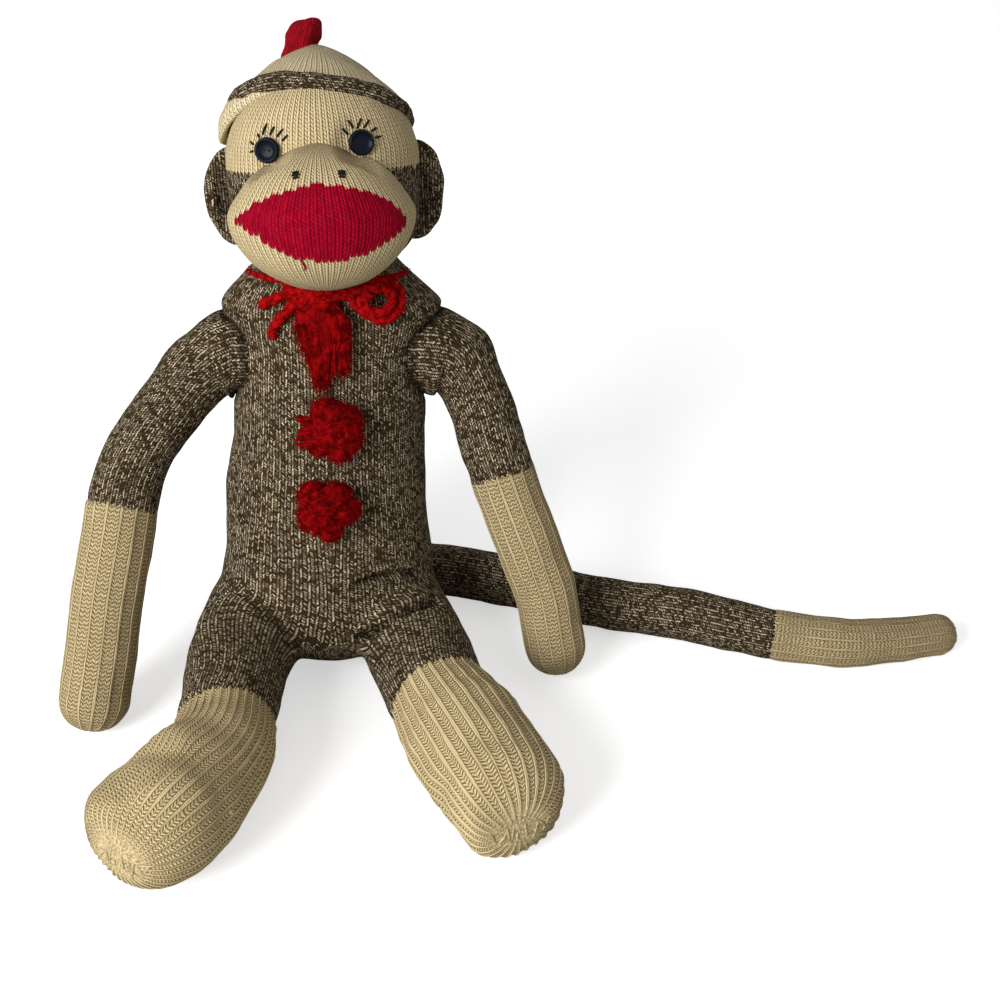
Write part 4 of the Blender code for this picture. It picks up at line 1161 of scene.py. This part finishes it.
# the cap's cream inside, folded down under the band at the doll's right
hem_drop = 0.0185
hem_flare = 0.0080
hem_half = 0.0010
hem_wale = 0.0031
rings = []
for number in range(49):
    share = number / 48
    turn = radians(-118 + 100 * share)
    full = max(sin(pi * share ** 0.8) ** 0.7, 0.05)
    outward = Vector((sin(turn), -cos(turn), 0))
    flare = ease_in(1 - share * 1.15)
    drop = hem_drop * full * (0.22 + 0.78 * flare)
    place = outward * (0.0404 + hem_flare * flare * full) + Vector((0, 0, -0.0005 - drop / 2))
    rings.append(cap_place @ axes_at(place, outward, up, outward.cross(up))
                 @ Matrix.Rotation(radians(12) * flare, 4, "Z")
                 @ Matrix.Diagonal((0.0026 * full, hem_half + drop / 2, 1, 1)))
hem = knit_tube(rings, 36, 10, course)
knit_map = hem.loops.layers.uv["knit"]
for face in hem.faces:
    for loop in face.loops:
        around, along = loop[knit_map].uv
        loop[knit_map].uv = (along * course / hem_wale, around * 1.1)
lumps(hem, 0.008, 0.0006, 27)
hem_skin = dress(hem, "cap_hem", cap_cream, (), "head")

# Eyes: two navy shirt buttons with a raised rim, a dished middle and sewing holes.
# They are sewn on with black thread.
pattern = Pattern("navy_button_gloss")
button_colour = pattern.mix(pattern.clouds(900, 3), (0.002, 0.0035, 0.007), (0.005, 0.008, 0.014))
button_gloss = pattern.finish(button_colour, roughness=0.28, specular=0.07)
pattern = Pattern("black_thread")
twist = pattern.clouds(1600, 2)
black_thread = pattern.finish(pattern.mix(twist, (0.005, 0.0045, 0.004), (0.020, 0.018, 0.015)), twist, 0.0001, 0.85)
button_radius = 0.0060
button_rise = 0.0028
button_profile = ((0, 0), (0.80, 0), (0.95, 0.10), (1.0, 0.35), (0.99, 0.62), (0.93, 0.90), (0.86, 1.0), (0.78, 0.98),
                  (0.71, 0.84), (0.62, 0.70), (0.45, 0.62), (0.25, 0.59), (0, 0.58))
hole_half = (0.00062, 0.00062, 0.00022)
for side, (place, facing) in eye_seats.items():
    seat = Matrix.Translation(place) @ facing.to_track_quat("Z", "Y").to_matrix().to_4x4()
    button = bmesh.new()
    corners = [button.verts.new((out * button_radius, 0, rise * button_rise)) for out, rise in button_profile]
    edges = [button.edges.new(pair) for pair in zip(corners, corners[1:])]
    bmesh.ops.spin(button, geom=corners + edges, axis=(0, 0, 1), cent=(0, 0, 0), steps=48, angle=2 * pi,
                   use_merge=True)
    bmesh.ops.remove_doubles(button, verts=button.verts, dist=1e-6)
    bmesh.ops.recalc_face_normals(button, faces=button.faces)
    bmesh.ops.transform(button, verts=button.verts, matrix=seat)
    dress(button, side + "_eye", button_gloss, (side + "_eye_button",), "head")
    holes = bmesh.new()
    for out in (-0.2, 0.2):
        spot = Matrix.Translation((out * button_radius, 0, button_rise * 0.585))
        bmesh.ops.create_uvsphere(holes, u_segments=12, v_segments=8, radius=1,
                                  matrix=spot @ Matrix.Diagonal((*hole_half, 1)))
    bmesh.ops.transform(holes, verts=holes.verts, matrix=seat)
    dress(holes, side + "_eye_holes", black_thread, (), "head")

# Lashes and nostrils: straight stitches of black thread, each pulled into the knit at its ends.
# Each line of a lash gives its two ends across and up from the eye's middle, in mm.
lash_lines = {
    "right": ((-7.7, -0.9, -6.1, -0.4), (-7.3, 3.8, -5.9, 2.4), (-3.6, 7.3, -2.8, 5.6), (1.1, 12.0, -1.5, 6.7),
              (4.6, 10.6, 1.9, 6.6), (8.6, 9.6, 5.0, 5.6), (10.6, 6.8, 7.4, 3.8)),
    "left": ((-8.6, 6.6, -6.3, 3.4), (-6.0, 10.2, -3.7, 6.3), (0.2, 10.8, -2.2, 6.0), (3.7, 9.8, 1.0, 6.2),
             (7.0, 6.1, 4.4, 4.6), (8.8, 2.1, 6.1, 1.6)),
}


def sewn_stitch(ends, radius):
    """One stitch of thread between two places of the face, bowed a little out of the knit."""
    lift = 0.0004
    last = 8
    spots = []
    for number in range(last + 1):
        share = number / last
        x = ends[0] + (ends[2] - ends[0]) * share
        z = ends[1] + (ends[3] - ends[1]) * share
        place, facing = face_point(x * mm, z * mm)
        bow = sin(share * pi) ** 0.5 if 0 < share < 1 else -0.8
        spots.append(place + facing * lift * bow)
    rings = []
    for number, place in enumerate(spots):
        heading = (spots[min(number + 1, last)] - spots[max(number - 1, 0)]).normalized()
        side = heading.cross(front).normalized()
        size = radius * (1 if 0 < number < last else 0.6)
        rings.append(axes_at(place, side, heading.cross(side), heading) @ Matrix.Diagonal((size, size, 1, 1)))
    return knit_tube(rings, 8, 4, 0.0008)


def gather(shapes):
    """Several small meshes as one."""
    whole = bmesh.new()
    whole.loops.layers.uv.new("knit")
    for shape in shapes:
        add_shape(whole, shape)
    return whole


for side, lines in lash_lines.items():
    x, z = (value / mm for value in eye_places[side])
    stitches = [sewn_stitch((x + a, z + b, x + c, z + d), 0.00050) for a, b, c, d in lines]
    dress(gather(stitches), side + "_lashes", black_thread,
          tuple(f"{side}_lash_{number}" for number in range(1, 7)), "head")
for side, way in (("right", -1), ("left", 1)):
    x, z = way * 10.2 + 0.9, 39.4 + way * 0.1
    stitches = [sewn_stitch((x - long, z + low, x + long - 0.3, z + low - way * 0.5), 0.00060)
                for low, long in ((-1.1, 1.4), (0, 1.9), (1.0, 1.6))]
    dress(gather(stitches), side + "_nostril", black_thread, (side + "_nostril_stitch",), "head")

# one end of the lips' red yarn has worked loose under the mouth: across, up and out of the face, in mm
ends = ((-9.4, 4.2, -0.6), (-8.7, 2.6, 0.5), (-8.0, 1.2, 0.7), (-7.4, -0.4, 0.6), (-7.9, -1.9, 0.4))
loose = []
for x, z, lift in ends:
    place, facing = face_point(x * mm, z * mm)
    loose.append(place + facing * lift * mm)
loose_red = plain_wool("loose_red_yarn", (0.20, 0.001, 0.008), (0.40, 0.004, 0.02), 700, 0.0003)
dress(spun([loose], 0.00045, 1), "loose_lip_yarn", loose_red, (), "head")

# Neck tie and bow: thick red wool yarn of two plies. It goes once round the neck and is
# knotted under the chin, with one loop on the doll's left and two cut ends on its right.
red_wool = plain_wool("red_wool_yarn", (0.14, 0.0008, 0.0012), (0.40, 0.0035, 0.0045), 520, 0.0006)
dice = random.Random(7)


def scatter():
    return Vector((dice.uniform(-1, 1), dice.uniform(-1, 1), dice.uniform(-1, 1)))


def chest_point(out, height, lift=0.0):
    """A place over the chest, given across and up the torso's own frame, in mm."""
    start = torso_place @ Vector((out * mm, -0.2, height * mm))
    heading = torso_place.to_3x3() @ Vector((0, 1, 0))
    place, facing, _, _ = chest_tree.ray_cast(start, heading)
    return place + facing * lift * mm


def plied_yarn(route, thickness):
    """Two soft twisted plies along a route, with rounded cut ends and fine stray fibres."""
    pitch = 0.0135
    step = 0.0007
    points, length = smooth_route(route, max(int(sum((b - a).length for a, b in zip(route, route[1:])) / step), 12))
    made = []
    last = len(points) - 1
    for ply in (0, 0.5):
        rings = []
        for number, place in enumerate(points):
            heading = (points[min(number + 2, last)] - points[max(number - 2, 0)]).normalized()
            side = heading.cross(Vector((0.3, 0.2, 1))).normalized()
            upper = heading.cross(side)
            turn = 2 * pi * (length * number / last / pitch + ply)
            end = min(number, last - number) / 3
            size = thickness * 0.39 * min(0.45 + 0.55 * end, 1) * (1 + 0.10 * noise.noise(place / 0.003))
            middle = place + (side * cos(turn) + upper * sin(turn)) * thickness * 0.14
            rings.append(axes_at(middle, side, upper, heading) @ Matrix.Diagonal((size, size, 1, 1)))
        made.append(knit_tube(rings, 12, 4, 0.0012))
    stray = []
    for _ in range(int(length / 0.00022)):
        number = dice.randrange(1, last)
        along = (points[number + 1] - points[number - 1]).normalized()
        out = scatter()
        out = (out - along * out.dot(along)).normalized()
        start = points[number] + out * thickness * 0.42
        reach = out * dice.uniform(0.2, 0.7) + along * dice.choice((-1, 1)) + scatter() * 0.4
        reach = reach * dice.uniform(0.0012, 0.0026)
        stray.append([start, start + reach * 0.5 + out * 0.0002, start + reach])
    made.append(spun(stray, 0.00011))
    return made


tie_route = [chest_point(3.5, 163.5, 3.2)]
for number in range(3, 38):
    turn = 2 * pi * number / 40 - pi / 2
    tie_route.append(torso_place @ Vector((0.0384 * cos(turn), 0.0328 * sin(turn), 0.1664)))
tie_route.append(chest_point(-4.5, 163.5, 3.2))
dress(gather(plied_yarn(tie_route, 0.0034)), "neck_yarn", red_wool, ("neck_tie",), "torso")
# each length of yarn across and up the torso and out from the chest, in mm
bow_parts = (
    ("bow_knot", 0.0050, (
        ((-6.5, 157.5, 1.5), (-5.4, 161.5, 4.2), (-1.0, 163.0, 5.6), (3.4, 161.0, 4.6), (4.4, 157.0, 1.5)),
        ((-7.0, 160.5, 2.0), (-3.0, 158.2, 5.2), (1.0, 158.0, 5.8), (5.2, 160.5, 2.0)),
        ((-8.0, 162.0, 2.0), (-4.0, 164.4, 3.6), (1.0, 165.0, 3.8), (6.0, 163.5, 2.4)))),
    ("bow_end_upper", 0.0052, (
        ((-2.0, 160.0, 4.4), (-8.0, 161.6, 3.8), (-13.0, 161.6, 3.2), (-20.0, 158.6, 2.8), (-26, 155.8, 2.5),
         (-31.2, 153.2, 2.2)),
        ((-3.0, 161.5, 3.6), (-9.0, 164.5, 3.0), (-14.0, 164.8, 2.6), (-19.5, 162.0, 2.4)),
        ((-3.0, 158.5, 4.0), (-9.0, 159.0, 3.2), (-14.0, 156.6, 2.8), (-18.0, 153.2, 2.5)))),
    ("bow_end_lower", 0.0050, (
        ((-2.0, 158.0, 4.2), (-8.0, 157.6, 3.8), (-14.0, 154.6, 3.4), (-20.0, 149.6, 2.9), (-24.0, 144.0, 2.6),
         (-25.4, 138.6, 2.4)),)),
    ("bow_loop", 0.0050, (
        ((3.0, 161.5, 3.4), (8.0, 163.0, 3.0), (15.0, 164.4, 2.8), (23.0, 165.0, 2.8), (30.0, 162.6, 2.8),
         (34.4, 157.5, 3.0), (33.0, 151.0, 2.8), (27.0, 147.6, 3.0), (20.5, 149.6, 3.2), (14.5, 154.0, 3.4),
         (11.0, 158.5, 3.4), (4.0, 161.0, 3.6)),
        ((3.0, 160.8, 4.8), (11.0, 161.4, 4.8), (18.0, 162.0, 4.8), (25.4, 160.8, 5.0), (29.6, 157.0, 5.2),
         (28.8, 152.6, 5.4), (23.6, 151.0, 5.4), (18.4, 153.6, 5.4), (15.6, 157.4, 5.4), (20.4, 158.8, 5.6)))),
)
for name, thickness, routes in bow_parts:
    strands = []
    for rows in routes:
        strands += plied_yarn([chest_point(*row) for row in rows], thickness)
    dress(gather(strands), name + "_yarn", red_wool, (name,), "torso")

# Pompoms: bundles of the same red yarn, tied in the middle, cut short and fluffed, and sewn
# down the chest. The top one is longer and hangs like a tassel under the knot.
front_way = torso_place.to_3x3() @ Vector((0, -1, 0))
down_way = torso_place.to_3x3() @ Vector((0, 0, -1))
red_fluff = plain_wool("red_wool_fluff", (0.095, 0.0005, 0.0008), (0.27, 0.0018, 0.0024), 300, 0.0008)


def woolly(lobes, seed):
    """A soft lump of wool: overlapping lobes grown into one, with its surface clumped and tousled."""
    balls = bmesh.new()
    for place, half in lobes:
        bmesh.ops.create_icosphere(balls, subdivisions=3, radius=1, matrix=Matrix.Translation(place)
                                   @ Matrix.Rotation(-torso_lean, 4, "X") @ Matrix.Diagonal((*half, 1)))
    lump = one_skin(balls, 0.0009, 10)
    lumps(lump, 0.0052, 0.0016, seed)
    lumps(lump, 0.0021, 0.0007, seed + 3)
    return lump


def fluff(lump, count, comb, length, outward):
    """Fine fibres that leave a lump of wool, combed one way and curled at random."""
    lump.normal_update()
    verts = [vert for vert in lump.verts if vert.normal.dot(front_way) > -0.35]
    lines = []
    for _ in range(count):
        vert = verts[dice.randrange(len(verts))]
        heading = (vert.normal * dice.uniform(0.2, 1) * outward + comb + scatter() * 0.75).normalized()
        curl = scatter() * length * 0.4
        start = vert.co - vert.normal * 0.0006
        size = length * dice.uniform(0.5, 1.1)
        lines.append([start + heading * size * share + curl * share * share for share in (0, 0.35, 0.7, 1)])
    return lines


def swirls(middle, half, count, thick, tips):
    """The thicker ends of cut yarn that show between the fluff of a pompom."""
    lines = []
    for number in range(count):
        rise = 1 - 2 * (number + 0.5) / count
        turn = number * pi * (3 - sqrt(5))
        flat = sqrt(1 - rise * rise)
        direction = (Vector((flat * cos(turn), flat * sin(turn), rise)) + scatter() * 0.25).normalized()
        if direction.dot(front_way) > -0.3:
            reach = Vector((direction.x * half[0], direction.y * half[1], direction.z * half[2]))
            reach = reach * dice.uniform(*tips)
            bend = scatter() * 0.0034
            lines.append([middle + reach * share + bend * share * share for share in (0.45, 0.65, 0.85, 1)])
    return spun(lines, thick, 1)


# name, place across and up the chest, lobes as (across, up, out, half sizes) in mm, and seed
pompoms = (
    ("middle_pompom", 1.8, 97, ((2, 0, 0, 12.4, 11.2, 13.2), (-5, -5, 0, 8, 9.5, 7.4), (8, 3, 0, 7.6, 9, 8.4),
                                (4, -8, 1, 8, 8.6, 7.4), (-2, 8, 0, 7.4, 8.6, 7), (8, -5, 0, 7.4, 8.6, 7)), 31),
    ("lower_pompom", -0.5, 57, ((-1, 1, 0, 10.8, 11.0, 11.4), (-6, 6.4, 0, 8, 8.6, 7.8), (4, 7, 0, 8, 9, 6.8),
                                (8.6, 0.6, 0, 7.6, 8.8, 6.4), (1.4, -9.6, 0, 6.2, 8, 6.2),
                                (-7, -2, 1, 7.4, 8.6, 7.6)), 37),
)
for name, out, height, lobes, seed in pompoms:
    middle = chest_point(out, height) + front_way * 0.0048
    placed = [(middle + Vector((x * mm, 0, 0)) - down_way * (z * mm) + front_way * (fore * mm),
               (wide * mm, deep * mm, tall * mm)) for x, z, fore, wide, deep, tall in lobes]
    lump = woolly(placed, seed)
    fine = spun(fluff(lump, 3000, Vector((0, 0, 0)), 0.0024, 0.9), 0.00012)
    ends = swirls(middle, (0.0138, 0.0118, 0.0136), 70, 0.0010, (0.80, 0.98))
    parts = [lump, fine, ends]
    if name == "middle_pompom":
        side_ends = []
        for number in range(12):
            row = number % 6 - 2.5
            start = middle + Vector((-0.008, 0, 0)) + down_way * row * 0.0024 + front_way * 0.004
            reach = dice.uniform(0.0060, 0.0088)
            halfway = start + Vector((-reach * 0.5, 0, 0)) + scatter() * 0.0008
            tip = start + Vector((-reach, 0, 0)) + down_way * row * 0.0006 + scatter() * 0.0016
            side_ends.append([start, halfway, tip])
        parts.append(spun(side_ends, 0.0013, 1))
    dress(gather(parts), name + "_yarn", red_fluff, (name,), "torso")

# the tassel's lobes and thicker strands hang in two locks, with a fold between them
lobes = ((-6.5, 146.5, 3.4, 7.4, 5.8, 9.6), (0, 151, 3.6, 7.0, 5.6, 8.5), (-4.5, 138, 3.6, 7.0, 5.6, 11.0),
         (-2.8, 127, 2.8, 4.4, 4.4, 9.8), (6.8, 134.0, 2.8, 4.8, 4.8, 10.0), (5.0, 145, 3.2, 6.0, 5.2, 8.0))
placed = [(chest_point(out, height, lift), (wide * mm, deep * mm, tall * mm))
          for out, height, lift, wide, deep, tall in lobes]
lump = woolly(placed, 41)
for vert in lump.verts:
    own = into_torso @ vert.co
    ripple = 0.0005 * sin(own.x / 0.0011 + 3 * noise.noise(own / 0.008))
    vert.co += vert.normal * ripple
fold = [chest_point(*row) for row in ((-2.5, 156, 9.6), (-1.0, 146, 10.2), (0.5, 136, 8.8), (0.0, 128, 6.6))]
crease(lump, fold, 0.0016, 0.0020)
fine = spun(fluff(lump, 2600, down_way * 1.5, 0.0050, 0.4), 0.00012)
thick = []
for _ in range(150):
    across = dice.uniform(-1, 1)
    lobe = -1 if across < 0.1 else 1
    spread = across * (10.8 if lobe < 0 else 9.8)
    low = (124 if lobe < 0 else 126) + dice.uniform(-4, 14)
    shake = [dice.uniform(-1.5, 1.5) for _ in range(3)]
    rows = ((dice.uniform(-3, 3), 157, 5.5), (spread * 0.85 + shake[0], 149, 8.6 - 3.4 * across * across),
            (spread + shake[1], 140, 8.6 - 4.2 * across * across), (spread * 0.66 + shake[2], low, 5.0))
    points, _ = smooth_route([chest_point(*row) for row in rows], 9)
    thick.append(points)
dress(gather([lump, fine, spun(thick, 0.0007, 1)]), "tassel_yarn", red_fluff, ("tassel_pompom",), "torso")
